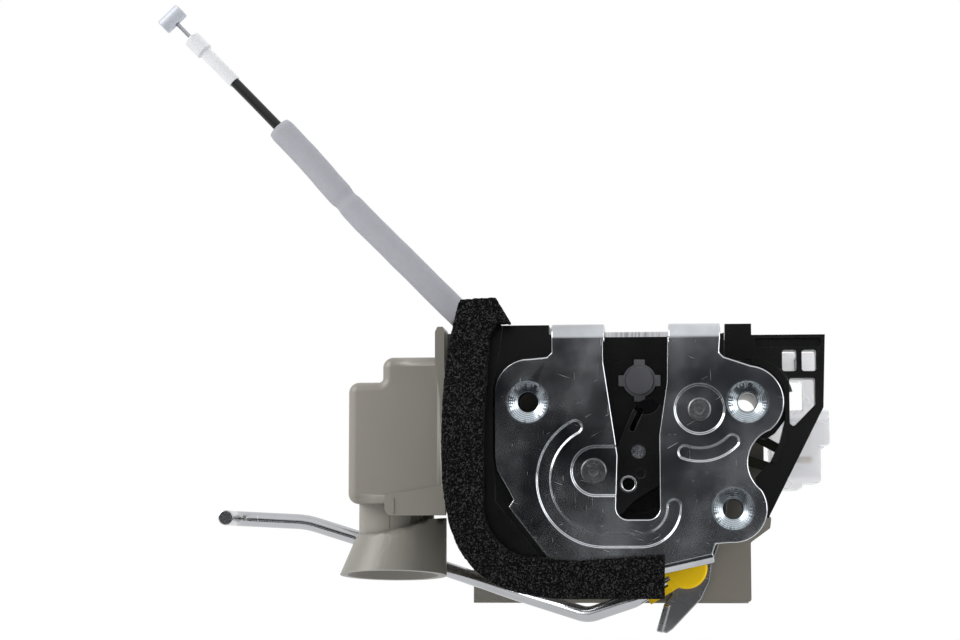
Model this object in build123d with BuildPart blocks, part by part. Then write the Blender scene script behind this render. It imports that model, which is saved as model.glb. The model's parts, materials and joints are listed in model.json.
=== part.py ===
"""Door latch actuator: rotary-claw door latch with its actuator housing, cable and release rod.

The face plate lies in the XZ plane and faces -Y, and the striker slot opens upwards (+Z).
The origin is the axis of the latched striker where it crosses the outer face of the plate.
All lengths are millimetres. Depth is measured along +Y, away from the face of the plate.
"""

import os
from math import atan2, cos, degrees, hypot, pi, radians, sin, tan

from build123d import *

os.makedirs("parts", exist_ok=True)

# ---------------------------------------------------------------- driving dimensions
# striker and slot
SLOT_LEFT = 5.9  # half widths of the narrow part of the slot
SLOT_RIGHT = 6.2
SLOT_MOUTH_LEFT = 9.5
SLOT_MOUTH_RIGHT = 8.7
SLOT_BOTTOM = -10.1
SLOT_CORNER_R = 3.3
PLUG_X, PLUG_Z, PLUG_R = 0.6, 29.6, 4.8

# face plate
PLATE_T = 2.3
PLATE_TOP = 45.2
TAB_BEND_R = 4.4
TAB_LEFT = (-24.1, -9.1)
TAB_RIGHT = (8.9, 23.5)
SHOULDER_Z = 35.4  # top of the plate beside the tabs
PLATE_LEFT = -40.3
BEAD_DEPTH = 0.9
BEAD_W = 4.3
BEAD_CENTRE, BEAD_R = (-9.5, 0.9), 16.9  # long bead: round the claw pivot, along the foot of the slot
BEAD_CORNER_X, BEAD_CORNER_R = 0.8, 9.4  # and up beside it
SHORT_BEAD_R = 12.8  # short bead, about the pawl pivot
HOOK_FLANGE_DEPTH = 5.5  # bottom flange of the plate, bent backwards

# the three M6 screws
SCREW_TL = (-30.8, 23.0)
SCREW_TR = (30.9, 22.7)
SCREW_BR = (26.6, -7.2)
SCREWS = (SCREW_TL, SCREW_TR, SCREW_BR)
SCREW_BORE_R = 2.7
SCREW_MOUTH_R = 6.2
SCREW_CONE_DEPTH = 1.9
COLLAR_R = 4.3
COLLAR_END = 6.6

# pivots
CLAW_X, CLAW_Z = -12.3, 3.4
PAWL_X, PAWL_Z = 17.5, 20.7
LEVER_X, LEVER_Z = 17.5, -10.4
PIN_R = 3.5  # claw pin
PAWL_PIN_R = 3.2
RUNNING = 0.1  # clearance of a bore on its pin

# depth of each layer, from the outer face of the plate
CLAW_FRONT, CLAW_BACK = 3.7, 9.5
CORE_FRONT, CORE_BACK = 4.4, 8.8
POCKET_FLOOR = 10.3
CHANNEL_FLOOR = 12.4  # floor of the striker channel
BODY_BACK = 14.0
BACK_PLATE_T = 2.0
LEVER_FRONT = 16.4
LEVER_T = 2.0
CASE_FRONT = 20.0
CASE_BACK = 44.0
CASE_WALL = 2.0
COVER_T = 2.4

# claw, in its own axes: u along the mouth, v to the left of it, from the claw pivot
CLAW_MOUTH_DEG = 66.0  # direction of the mouth when the latch is open
CLAW_TIP_R = 26.5
CLAW_RIM_R = 23.4
CLAW_BOSS_R = 8.3
MOUTH_RIGHT, MOUTH_LEFT = -3.1, 7.2
HOOK_OUTER = 15.5
COAT_T = 1.0

# pawl
PAWL_HUB_R = 5.6
PAWL_LIFT_DEG = 12.0  # from engaged to lifted clear of the claw
NOSE_R = 23.8  # radius of the engaged nose about the claw pivot
LUG = (18.2, 5.0)  # release lug with the pawl engaged
LUG_R = 1.6
LUG_CLEAR = 0.6

# release lever, clip and rod
HUB_X, HUB_Z = 13.4, -23.6
CLIP_R = 6.0
CLIP_FRONT, CLIP_BACK = 8.6, 15.9
ROD_D = 4.5

# actuator housing
BLOCK_LEFT, BLOCK_RIGHT = -83.2, -54.6
BLOCK_BOTTOM, BLOCK_TOP = -5.5, 29.5
BLOCK_FRONT = 8.0
STEP_LEFT, STEP_TOP = -73.3, 36.7  # upper step of the key housing
FUNNEL_X, FUNNEL_Y = -71.0, 25.0
FUNNEL_NECK_R = 11.0
FUNNEL_NECK_Z = -13.5
FUNNEL_WALL = 1.8
SCOOP_RIGHT = -56.3  # upright right side of the scoop below the neck
SCOOP_TOP_R, SCOOP_TOP_Z = 12.0, -9.0
SCOOP_RIM_R, SCOOP_RIM_Z = 16.2, -28.5

# cable
WIRE_D = 1.2
CONDUIT_D = 3.0
SLEEVE_D = 7.6
FERRULE_D, FERRULE_HEAD_D = 3.8, 5.2
FERRULE_L, FERRULE_HEAD_L = 19.5, 6.0
NIPPLE_D, NIPPLE_L = 4.9, 7.8
WIRE_OUT = 8.6  # from the ferrule to the middle of the nipple


# ---------------------------------------------------------------- shared helpers
def depth(y):
    """A sketch plane at depth y that faces the viewer: local x is X, local y is Z."""
    return Plane.XZ.offset(-y)


def polar(radius, angle_deg, centre=(0.0, 0.0)):
    """The point at a radius and an angle (anticlockwise, seen from the face) about a centre."""
    angle = radians(angle_deg)
    return (centre[0] + radius * cos(angle), centre[1] + radius * sin(angle))


def turned(point, centre, angle_deg):
    """A point turned about a centre, anticlockwise as seen from the face."""
    dx, dz = point[0] - centre[0], point[1] - centre[1]
    return polar(hypot(dx, dz), degrees(atan2(dz, dx)) + angle_deg, centre)


def sector(radius, start_deg, end_deg, centre):
    """The pie slice of a circle."""
    with BuildSketch() as slice_:
        with BuildLine():
            rim = ThreePointArc(
                polar(radius, start_deg, centre),
                polar(radius, (start_deg + end_deg) / 2, centre),
                polar(radius, end_deg, centre),
            )
            Line(rim @ 1, centre)
            Line(centre, rim @ 0)
        make_face()
    return slice_.sketch


def polygon(*points):
    """A closed outline with straight sides."""
    with BuildSketch() as outline:
        with BuildLine():
            Polyline(*points, close=True)
        make_face()
    return outline.sketch


def finish(builder, label):
    """Names a finished piece and writes its STEP file."""
    builder.part.label = label
    export_step(builder.part, f"parts/{label}.step")


CLAW_PIVOT = (CLAW_X, CLAW_Z)
PAWL_PIVOT = (PAWL_X, PAWL_Z)
LEVER_PIVOT = (LEVER_X, LEVER_Z)
HUB = (HUB_X, HUB_Z)
BACK_PLATE_BACK = BODY_BACK + BACK_PLATE_T
LEVER_BACK = LEVER_FRONT + LEVER_T
LUG_AT_REST = turned(LUG, PAWL_PIVOT, PAWL_LIFT_DEG)


# ---------------------------------------------------------------- face plate
LOBE_TR_R, LOBE_BR_R = 10.2, 9.5
WAIST = (30.9, 6.3)
FLANGE_LEFT, FLANGE_RIGHT = (-6.0, -25.6), (20.8, -19.45)
RECESS_R, RECESS_DEPTH = 6.9, 1.2
RECESS_BACK_R = RECESS_R + 0.6
TENON_R = 2.6
FLANGE_BEND_R = 2.8


def plate_outline():
    """The flat face of the plate, without its bent tabs and flange."""
    top = PLATE_TOP - TAB_BEND_R
    with BuildSketch() as outline:
        with BuildLine():
            Polyline(
                (TAB_RIGHT[0], top),
                (TAB_RIGHT[1], top),
                (TAB_RIGHT[1] - 0.3, SHOULDER_Z + 1.2),
                (TAB_RIGHT[1] + 0.9, SHOULDER_Z),
                polar(LOBE_TR_R, 84, SCREW_TR),
            )
            lobe_tr = ThreePointArc(*(polar(LOBE_TR_R, angle, SCREW_TR) for angle in (84, 20, -52)))
            lobe_br = ThreePointArc(*(polar(LOBE_BR_R, angle, SCREW_BR) for angle in (34, -25, -94)))
            ThreePointArc(lobe_tr @ 1, WAIST, lobe_br @ 0)
            Polyline(
                lobe_br @ 1,
                (21.6, -17.0),
                FLANGE_RIGHT,
                FLANGE_LEFT,
                (-21.5, -25.6),
                (-35.3, -8.1),
                (-36.4, -6.6),
                (-35.0, -4.7),
                (-36.6, -1.6),
                (PLATE_LEFT + 0.6, 3.8),
                (PLATE_LEFT, 8.0),
                (PLATE_LEFT, 25.2),
            )
            ThreePointArc((PLATE_LEFT, 25.2), (-37.4, 32.4), (-30.4, SHOULDER_Z - 0.2))
            Polyline(
                (-30.4, SHOULDER_Z - 0.2),
                (TAB_LEFT[0] - 1.0, SHOULDER_Z + 0.3),
                (TAB_LEFT[0], SHOULDER_Z + 1.3),
                (TAB_LEFT[0], top),
                (TAB_RIGHT[0], top),
            )
        make_face()
    return outline.sketch


def slot_outline(grow=0.0):
    """The striker slot, narrow at its end and tapering open to its mouth."""
    with BuildSketch() as outline:
        with BuildLine():
            Polyline(
                (-SLOT_LEFT - 0.2 - grow, SLOT_BOTTOM - grow),
                (SLOT_RIGHT + grow, SLOT_BOTTOM - grow),
                (SLOT_RIGHT - 0.1 + grow, 12.9),
                (SLOT_MOUTH_RIGHT - 0.3 + grow, 28.3),
                (SLOT_MOUTH_RIGHT + grow, PLATE_TOP + 1),
                (-SLOT_MOUTH_LEFT - grow, PLATE_TOP + 1),
                (-SLOT_MOUTH_LEFT - grow, 35.1),
                (-SLOT_LEFT - 0.8 - grow, 15.9),
                (-SLOT_LEFT + 0.4 - grow, 7.8),
                close=True,
            )
        make_face()
        fillet(outline.vertices().group_by(Axis.Y)[0], SLOT_CORNER_R)
    return outline.sketch


def bead_strips(width):
    """The two stiffening beads as round-ended strips of a width."""
    with BuildLine() as long_bead:
        round_claw = CenterArc(BEAD_CENTRE, BEAD_R, 118, 152)
        corner = (BEAD_CORNER_X, BEAD_CENTRE[1] - BEAD_R + BEAD_CORNER_R)
        round_corner = CenterArc(corner, BEAD_CORNER_R, 270, 91)
        Line(round_claw @ 1, round_corner @ 0)
    with BuildLine() as short_bead:
        CenterArc(PAWL_PIVOT, SHORT_BEAD_R, 251, 64)
    with BuildSketch() as strips:
        for bead in (long_bead, short_bead):
            SlotArc(bead.wire(), width)
    return strips.sketch


def rivet_recesses(radius):
    """The D shaped recess of the claw rivet, open to the slot, and the round one of the pawl rivet."""
    with BuildSketch() as recesses:
        with Locations((CLAW_X + 0.7, CLAW_Z)):
            Circle(radius)
        with Locations((CLAW_X + 0.7 + radius / 2, CLAW_Z)):
            Rectangle(radius, 2 * radius)
        with Locations(PAWL_PIVOT):
            Circle(radius)
    return recesses.sketch


with BuildPart() as face_plate:
    with BuildSketch(depth(PLATE_T)):
        add(plate_outline())
        add(slot_outline(), mode=Mode.SUBTRACT)
    extrude(amount=PLATE_T)
    # tabs beside the slot, bent back over the latch body
    for left, right in (TAB_LEFT, TAB_RIGHT):
        with BuildSketch(Plane.YZ.offset(left)):
            with BuildLine():
                bend_z = PLATE_TOP - TAB_BEND_R
                RadiusArc((0, bend_z), (TAB_BEND_R, PLATE_TOP), TAB_BEND_R)
                Polyline(
                    (TAB_BEND_R, PLATE_TOP),
                    (BODY_BACK, PLATE_TOP),
                    (BODY_BACK, PLATE_TOP - PLATE_T),
                    (TAB_BEND_R, PLATE_TOP - PLATE_T),
                )
                RadiusArc((TAB_BEND_R, PLATE_TOP - PLATE_T), (PLATE_T, bend_z), -(TAB_BEND_R - PLATE_T))
                Line((PLATE_T, bend_z), (0, bend_z))
            make_face()
        extrude(amount=right - left)
    # bottom flange, bent back along a sloping line
    tilt = atan2(FLANGE_RIGHT[1] - FLANGE_LEFT[1], FLANGE_RIGHT[0] - FLANGE_LEFT[0])
    along = (cos(tilt), 0, sin(tilt))
    down = (sin(tilt), 0, -cos(tilt))
    with BuildSketch(Plane(origin=(FLANGE_LEFT[0], 0, FLANGE_LEFT[1]), x_dir=down, z_dir=along)):
        # local x runs down the face, local y runs towards the viewer or away from it
        away = -1 if Plane(origin=(0, 0, 0), x_dir=down, z_dir=along).y_dir.Y < 0 else 1
        inner_r = FLANGE_BEND_R - PLATE_T
        with BuildLine():
            outer = ThreePointArc(
                (0, 0),
                (FLANGE_BEND_R * sin(pi / 4), away * FLANGE_BEND_R * (1 - cos(pi / 4))),
                (FLANGE_BEND_R, away * FLANGE_BEND_R),
            )
            Polyline(
                outer @ 1,
                (FLANGE_BEND_R, away * HOOK_FLANGE_DEPTH),
                (inner_r, away * HOOK_FLANGE_DEPTH),
                (inner_r, away * FLANGE_BEND_R),
                (0, away * PLATE_T),
                (0, 0),
            )
        make_face()
    extrude(amount=hypot(FLANGE_RIGHT[0] - FLANGE_LEFT[0], FLANGE_RIGHT[1] - FLANGE_LEFT[1]))
    # beads and rivet recesses: sunk in the face and raised behind it
    with BuildSketch(depth(PLATE_T + BEAD_DEPTH)):
        add(bead_strips(BEAD_W))
        add(rivet_recesses(RECESS_BACK_R))
        add(slot_outline(), mode=Mode.SUBTRACT)
    extrude(amount=BEAD_DEPTH)
    with BuildSketch(depth(BEAD_DEPTH)):
        add(bead_strips(BEAD_W - 0.6))
    extrude(amount=BEAD_DEPTH, mode=Mode.SUBTRACT)
    with BuildSketch(depth(RECESS_DEPTH)):
        add(rivet_recesses(RECESS_R))
    extrude(amount=RECESS_DEPTH, mode=Mode.SUBTRACT)
    # dimpled screw seats with threaded collars behind
    with BuildSketch(depth(COLLAR_END)):
        with Locations(*SCREWS):
            Circle(COLLAR_R)
    extrude(amount=COLLAR_END - PLATE_T)
    for screw_x, screw_z in SCREWS:
        with BuildSketch(Plane.XY.offset(screw_z)):
            with BuildLine():
                Polyline(
                    (screw_x, -1),
                    (screw_x + SCREW_MOUTH_R, -1),
                    (screw_x + SCREW_MOUTH_R, 0),
                    (screw_x + SCREW_BORE_R, SCREW_CONE_DEPTH),
                    (screw_x + SCREW_BORE_R, COLLAR_END + 1),
                    (screw_x, COLLAR_END + 1),
                    close=True,
                )
            make_face()
        revolve(axis=Axis((screw_x, 0, screw_z), (0, 1, 0)), mode=Mode.SUBTRACT)
    # holes for the riveted ends of the two pivots
    with BuildSketch(depth(PLATE_T + BEAD_DEPTH)):
        with Locations(CLAW_PIVOT, PAWL_PIVOT):
            Circle(TENON_R)
    extrude(amount=PLATE_T + BEAD_DEPTH, mode=Mode.SUBTRACT)
finish(face_plate, "face_plate")


# ---------------------------------------------------------------- latch body (black moulding)
BODY_LEFT = -43.4
BLOCK_TOP_Z = 44.9
LEDGE_FRONT, LEDGE_BACK = 1.0, 5.3
BODY_TOP = PLATE_TOP - PLATE_T - 0.6
BOSS_CLEAR = 0.3
CLAW_SWEEP_R = CLAW_TIP_R + 0.9
WINDOW_R = 4.0  # window for the release lug
SPRING_FLOOR = 13.2
CLAW_SPRING_R, PAWL_SPRING_R = 5.8, 4.2
TAB_BEND_CLEAR = 1.5  # step in the body under the bends of the tabs


def body_outline():
    """Outline of the latch body behind the plate."""
    with BuildSketch() as outline:
        with BuildLine():
            Polyline(
                (-40.1, BLOCK_TOP_Z),
                (TAB_LEFT[0] - 0.7, BLOCK_TOP_Z),
                (TAB_LEFT[0] - 0.7, BODY_TOP),
                (TAB_RIGHT[1] + 1.1, BODY_TOP),
                (TAB_RIGHT[1] + 1.1, SHOULDER_Z - 1.0),
                polar(LOBE_TR_R - 0.9, 84, SCREW_TR),
            )
            lobe_tr = ThreePointArc(*(polar(LOBE_TR_R - 0.9, angle, SCREW_TR) for angle in (84, 20, -52)))
            lobe_br = ThreePointArc(*(polar(LOBE_BR_R - 0.9, angle, SCREW_BR) for angle in (34, -25, -94)))
            ThreePointArc(lobe_tr @ 1, (WAIST[0] - 0.9, WAIST[1]), lobe_br @ 0)
            Polyline(
                lobe_br @ 1,
                (21.0, -16.2),
                (8.5, -16.4),
                (4.5, -20.4),
                (1.5, -21.8),
                (-8.0, -24.4),
                (-24.5, -24.4),
                (-27.6, -21.6),
                (-38.8, -7.0),
                (BODY_LEFT, -5.0),
                (BODY_LEFT, 40.8),
                (-40.1, 40.8),
                (-40.1, BLOCK_TOP_Z),
            )
        make_face()
    return outline.sketch


def ledge_outline():
    """The thin ledge round the left and lower sides that carries the seal."""
    return polygon(
        (-49.0, 49.5), (-40.0, 49.5), (-38.0, 44.0), (-40.0, 30.0), (-40.0, -5.0), (-26.0, -22.0), (3.0, -22.0),
        (5.0, -29.5), (-27.5, -29.0), (-38.0, -26.0), (-47.0, -17.5), (-51.0, -8.0), (-52.0, 18.0), (-50.5, 40.0),
    )  # fmt: skip


def claw_pocket():
    """The space that the claw sweeps, the pocket of the pawl and the striker channel."""
    with BuildSketch() as pocket:
        add(sector(CLAW_SWEEP_R, -58, 118, CLAW_PIVOT))
        add(sector(24.2, -100, -40, CLAW_PIVOT))
        with Locations(CLAW_PIVOT):
            Circle(20.6)
        with Locations(PAWL_PIVOT):
            Circle(PAWL_HUB_R + 1.0)
        add(polygon((9.0, 24.0), (23.5, 22.0), (26.6, 4.5), (22.0, -1.5), (13.0, -1.5)))
        add(polygon((-9.8, SLOT_BOTTOM - 0.4), (9.2, SLOT_BOTTOM - 0.4), (9.2, BODY_TOP), (-9.8, BODY_TOP)))
    return pocket.sketch


def screw_circles(radius):
    with BuildSketch() as circles:
        with Locations(*SCREWS):
            Circle(radius)
    return circles.sketch


with BuildPart() as latch_body:
    with BuildSketch(depth(BODY_BACK)):
        add(body_outline())
    extrude(amount=BODY_BACK - PLATE_T)
    with BuildSketch(depth(LEDGE_BACK)):
        add(ledge_outline())
    extrude(amount=LEDGE_BACK - LEDGE_FRONT)
    # room for the plate, its beads and its bent flange
    with BuildSketch(depth(PLATE_T)):
        with BuildSketch(mode=Mode.PRIVATE) as room:
            add(plate_outline())
            offset(amount=0.35, kind=Kind.INTERSECTION)
        add(room.sketch)
        add(slot_outline(0.4))
    extrude(amount=PLATE_T, mode=Mode.SUBTRACT)
    for left, right in (TAB_LEFT, TAB_RIGHT):
        with BuildSketch(depth(PLATE_T + TAB_BEND_CLEAR)):
            with Locations(((left + right) / 2, BODY_TOP)):
                Rectangle(right - left + 1.2, 2 * (BODY_TOP - PLATE_TOP + TAB_BEND_R), align=Align.CENTER)
        extrude(amount=TAB_BEND_CLEAR, mode=Mode.SUBTRACT)
    with BuildSketch(depth(PLATE_T + BEAD_DEPTH)):
        add(bead_strips(BEAD_W + 0.4))
        add(rivet_recesses(RECESS_BACK_R + 0.2))
    extrude(amount=BEAD_DEPTH, mode=Mode.SUBTRACT)
    with BuildSketch(Plane(origin=(FLANGE_LEFT[0] - 0.5, 0, FLANGE_LEFT[1] + 0.9), x_dir=down, z_dir=along)):
        with Locations((0, away * (HOOK_FLANGE_DEPTH + 0.4) / 2)):
            Rectangle(9, HOOK_FLANGE_DEPTH + 0.4, align=(Align.MIN, Align.CENTER))
    extrude(amount=34, mode=Mode.SUBTRACT)
    # claw and pawl pocket, striker channel, screw clearances and lug window
    with BuildSketch(depth(POCKET_FLOOR)):
        add(claw_pocket())
    extrude(amount=POCKET_FLOOR - PLATE_T, mode=Mode.SUBTRACT)
    with BuildSketch(depth(CHANNEL_FLOOR)):
        add(slot_outline(0.4))
    extrude(amount=CHANNEL_FLOOR, mode=Mode.SUBTRACT)
    with BuildSketch(depth(BODY_BACK)):
        add(screw_circles(COLLAR_R + BOSS_CLEAR))
    extrude(amount=BODY_BACK, mode=Mode.SUBTRACT)
    with BuildSketch(depth(BODY_BACK)):
        with Locations(LEVER_PIVOT):
            Circle(4.4)
    extrude(amount=BODY_BACK - 12.6, mode=Mode.SUBTRACT)
    with BuildSketch(depth(BODY_BACK)):
        with Locations(CLAW_PIVOT):
            Circle(PIN_R)
        with Locations(PAWL_PIVOT):
            Circle(PAWL_PIN_R)
        with Locations(turned(LUG_AT_REST, PAWL_PIVOT, -2)):
            Ellipse(WINDOW_R + 2.6, WINDOW_R - 0.6)
    extrude(amount=BODY_BACK - PLATE_T, mode=Mode.SUBTRACT)
    # hollows of the claw and pawl springs
    with BuildSketch(depth(SPRING_FLOOR)):
        with Locations(CLAW_PIVOT):
            Circle(CLAW_SPRING_R + 1.6)
            Circle(PIN_R + 0.9, mode=Mode.SUBTRACT)
        with Locations(PAWL_PIVOT):
            Circle(PAWL_SPRING_R + 1.2)
    extrude(amount=SPRING_FLOOR - POCKET_FLOOR + 0.2, mode=Mode.SUBTRACT)
finish(latch_body, "latch_body")


# ---------------------------------------------------------------- back plate
BACK_FLANGE_Z = 44.2
BUFFER_H = 3.2
BACK_BEND_R = 3.0


def back_outline():
    """Outline of the steel plate behind the latch body, a little inside its edge."""
    with BuildSketch() as outline:
        add(
            polygon(
                (-41.5, 38.0), (23.0, 38.0), (23.0, 34.5), (32.5, 31.4), (38.8, 27.0), (39.2, 20.5), (33.0, 12.6),
                (29.2, 6.3), (32.6, -1.6), (34.4, -7.2), (31.6, -13.2), (26.0, -15.0), (6.0, -15.2), (0.6, -19.6),
                (-8.4, -23.0), (-23.9, -23.0), (-38.0, -5.6), (-41.5, -4.0),
            )  # fmt: skip
        )
        fillet(outline.vertices(), 1.2)
    return outline.sketch


with BuildPart() as back_plate:
    with BuildSketch(depth(BACK_PLATE_BACK)):
        add(back_outline())
        with Locations((-0.5, BACK_FLANGE_Z - BACK_BEND_R)):
            Rectangle(42, 6, align=(Align.CENTER, Align.MAX))
        add(screw_circles(3.6), mode=Mode.SUBTRACT)
        with Locations(CLAW_PIVOT, PAWL_PIVOT, LEVER_PIVOT):
            Circle(TENON_R, mode=Mode.SUBTRACT)
        with Locations(turned(LUG_AT_REST, PAWL_PIVOT, -2)):
            Ellipse(WINDOW_R + 2.6, WINDOW_R - 0.6, mode=Mode.SUBTRACT)
    extrude(amount=BACK_PLATE_T)
    with BuildSketch(Plane.YZ.offset(-21.5)):
        with BuildLine():
            bend_z = BACK_FLANGE_Z - BACK_BEND_R
            front = (BODY_BACK, bend_z)
            crest = (BODY_BACK + BACK_BEND_R, BACK_FLANGE_Z)
            RadiusArc(front, crest, BACK_BEND_R)
            Polyline(
                crest,
                (BODY_BACK + 11, BACK_FLANGE_Z),
                (BODY_BACK + 11, BACK_FLANGE_Z - BACK_PLATE_T),
                (crest[0], BACK_FLANGE_Z - BACK_PLATE_T),
            )
            RadiusArc(
                (crest[0], BACK_FLANGE_Z - BACK_PLATE_T), (BACK_PLATE_BACK, bend_z), -(BACK_BEND_R - BACK_PLATE_T)
            )
            Line((BACK_PLATE_BACK, bend_z), front)
        make_face()
    extrude(amount=42)
finish(back_plate, "back_plate")


# ---------------------------------------------------------------- pivots
HEAD_H = 0.9  # front heads of the rivets
DIMPLE_R, DIMPLE_DEPTH = 1.2, 0.3


def pivot(centre, shank_r, shank_back, tenon_back, head_r, head_back, front_head_r):
    """A stepped rivet: front head in its recess, tenon, shank, rear shank and rear head."""
    with BuildPart() as pin:
        for front, back, radius in (
            (RECESS_DEPTH - HEAD_H, RECESS_DEPTH, front_head_r),
            (RECESS_DEPTH, PLATE_T + BEAD_DEPTH, TENON_R),
            (PLATE_T + BEAD_DEPTH, BODY_BACK, shank_r),
            (BODY_BACK, tenon_back, shank_back),
            (tenon_back, head_back, head_r),
        ):
            with BuildSketch(depth(back)):
                with Locations(centre):
                    Circle(radius)
            extrude(amount=back - front)
        front_rim = pin.edges().filter_by(GeomType.CIRCLE).sort_by(Axis.Y)[0]
        chamfer(front_rim, 0.35)
        # dimple left by the riveting tool
        with BuildSketch(depth(RECESS_DEPTH - HEAD_H + DIMPLE_DEPTH)):
            with Locations(centre):
                Circle(DIMPLE_R)
        extrude(amount=DIMPLE_DEPTH, mode=Mode.SUBTRACT)
    return pin


claw_pin = pivot(CLAW_PIVOT, PIN_R, TENON_R, BACK_PLATE_BACK, 4.0, BACK_PLATE_BACK + 1.1, 3.7)
finish(claw_pin, "claw_pin")

INSIDE_LEVER_BACK = 18.2
pawl_pin = pivot(PAWL_PIVOT, PAWL_PIN_R, TENON_R, INSIDE_LEVER_BACK + 0.1, 4.2, INSIDE_LEVER_BACK + 0.9, 3.3)
finish(pawl_pin, "pawl_pin")

with BuildPart() as lever_pin:
    for front, back, radius in ((12.7, BODY_BACK, 4.1), (BODY_BACK, 18.5, TENON_R), (18.5, 19.4, 4.4)):
        with BuildSketch(depth(back)):
            with Locations(LEVER_PIVOT):
                Circle(radius)
        extrude(amount=back - front)
finish(lever_pin, "lever_pin")


# ---------------------------------------------------------------- slot plug
with BuildPart() as slot_plug:
    with BuildSketch(depth(CHANNEL_FLOOR)):
        with Locations((PLUG_X, PLUG_Z)):
            Circle(PLUG_R)
            with PolarLocations(PLUG_R + 0.4, 4, start_angle=0):
                Rectangle(1.8, 3.2)
    extrude(amount=0.8)
    with BuildSketch(depth(CHANNEL_FLOOR - 0.8)):
        with Locations((PLUG_X, PLUG_Z)):
            Circle(PLUG_R - 0.7)
    extrude(amount=0.5)
    fillet(slot_plug.edges().filter_by(GeomType.CIRCLE).sort_by(Axis.Y)[0], 0.3)
finish(slot_plug, "slot_plug")

# overslam buffer at the closed end of the striker channel
with BuildPart() as slot_buffer:
    with BuildSketch(depth(CHANNEL_FLOOR)):
        add(slot_outline())
        with Locations((0, SLOT_BOTTOM + BUFFER_H)):
            Rectangle(40, 80, align=(Align.CENTER, Align.MIN), mode=Mode.SUBTRACT)
        with Locations((0.1, SLOT_BOTTOM + BUFFER_H + 6.4)):
            Circle(7.6, mode=Mode.SUBTRACT)
    extrude(amount=CHANNEL_FLOOR - CLAW_BACK - 0.5)
finish(slot_buffer, "slot_buffer")


# ---------------------------------------------------------------- claw
def claw_plane(y, turned_deg=0.0):
    """A sketch plane at depth y whose local x runs along the mouth of the claw."""
    angle = radians(CLAW_MOUTH_DEG - turned_deg)
    return Plane(origin=(CLAW_X, y, CLAW_Z), x_dir=(cos(angle), 0, sin(angle)), z_dir=(0, -1, 0))


def claw_outline():
    """The forked claw: a push arm on the right of the mouth and a hook arm on the left."""
    with BuildSketch() as outline:
        with BuildLine():
            start = (21.5, MOUTH_RIGHT)
            shoulder = ThreePointArc(start, (24.4, -4.8), polar(CLAW_TIP_R, -15))
            tip = ThreePointArc(shoulder @ 1, polar(CLAW_TIP_R, -21), polar(CLAW_TIP_R, -27))
            rim = ThreePointArc(polar(23.0, -36), polar(22.6, -50), polar(21.5, -68))
            Line(tip @ 1, rim @ 0)
            Polyline(rim @ 1, (3.2, -18.0), (-2.4, -13.9))
            ThreePointArc((-2.4, -13.9), (-5.0, -12.9), (-7.5, -12.1))
            ThreePointArc((-7.5, -12.1), (-12.9, 0.0), (-7.0, 13.0))
            Line((-7.0, 13.0), (-1.0, HOOK_OUTER))
            corner = ((CLAW_RIM_R**2 - HOOK_OUTER**2) ** 0.5, HOOK_OUTER)
            Line((-1.0, HOOK_OUTER), corner)
            ThreePointArc(corner, polar(CLAW_RIM_R, 34), polar(CLAW_RIM_R, 27))
            Line(polar(CLAW_RIM_R, 27), polar(CLAW_TIP_R, 27))
            hook_in = ((CLAW_TIP_R**2 - MOUTH_LEFT**2) ** 0.5, MOUTH_LEFT)
            ThreePointArc(polar(CLAW_TIP_R, 27), polar(CLAW_TIP_R, 22), hook_in)
            left_end = ((CLAW_BOSS_R**2 - MOUTH_LEFT**2) ** 0.5 + 1.5, MOUTH_LEFT)
            right_end = ((CLAW_BOSS_R**2 - MOUTH_RIGHT**2) ** 0.5 + 0.4, MOUTH_RIGHT)
            Line(hook_in, left_end)
            ThreePointArc(left_end, (CLAW_BOSS_R + 0.2, 2.0), right_end)
            Line(right_end, start)
        make_face()
    return outline.sketch


def tooth_zone():
    """Where the steel of the claw is left bare, for the pawl to bear on."""
    with BuildSketch() as zone:
        with Locations(polar(CLAW_TIP_R, 27), polar(CLAW_TIP_R - 1.5, -12)):
            Circle(4.2)
        add(claw_outline(), mode=Mode.INTERSECT)
    return zone.sketch


def core_outline():
    with BuildSketch() as outline:
        add(claw_outline())
        offset(amount=-COAT_T, kind=Kind.ARC)
        add(tooth_zone())
    return outline.sketch


DISC = (10.3, -9.2)  # places on the claw, in its own axes
DIMPLE = (4.8, -12.2)
SPRING_HOLE = (0.7, -10.3)
BUSH_R, BUSH_BORE_R = 2.5, 1.7
SLIT, SLIT_SIZE = (18.2, -5.1), (7.0, 1.4)  # damping slit through the push arm

with BuildPart() as claw_core:
    with BuildSketch(claw_plane(CORE_BACK)):
        add(core_outline())
        Circle(PIN_R + RUNNING, mode=Mode.SUBTRACT)
        with Locations(SPRING_HOLE):
            Circle(BUSH_R, mode=Mode.SUBTRACT)
        with Locations(SLIT):
            SlotOverall(*SLIT_SIZE, mode=Mode.SUBTRACT)
    extrude(amount=CORE_BACK - CORE_FRONT)
finish(claw_core, "claw_core")

with BuildPart() as claw_coat:
    with BuildSketch(claw_plane(CLAW_BACK)):
        add(claw_outline())
        add(tooth_zone(), mode=Mode.SUBTRACT)
        Circle(6.4, mode=Mode.SUBTRACT)
        with Locations(SPRING_HOLE):
            Circle(BUSH_R, mode=Mode.SUBTRACT)
        with Locations(SLIT):
            SlotOverall(*SLIT_SIZE, mode=Mode.SUBTRACT)
    extrude(amount=CLAW_BACK - CLAW_FRONT)
    with BuildSketch(claw_plane(CORE_BACK)):
        add(core_outline())
    extrude(amount=CORE_BACK - CORE_FRONT, mode=Mode.SUBTRACT)
    # window on the core and dimple in the front skin
    with BuildSketch(claw_plane(CORE_FRONT)):
        with Locations(DISC):
            Circle(2.0)
    extrude(amount=1.5, mode=Mode.SUBTRACT)
    with BuildSketch(claw_plane(CLAW_FRONT + 0.4)):
        with Locations(DIMPLE):
            Circle(1.4)
    extrude(amount=1.0, mode=Mode.SUBTRACT)
finish(claw_coat, "claw_coat")

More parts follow.
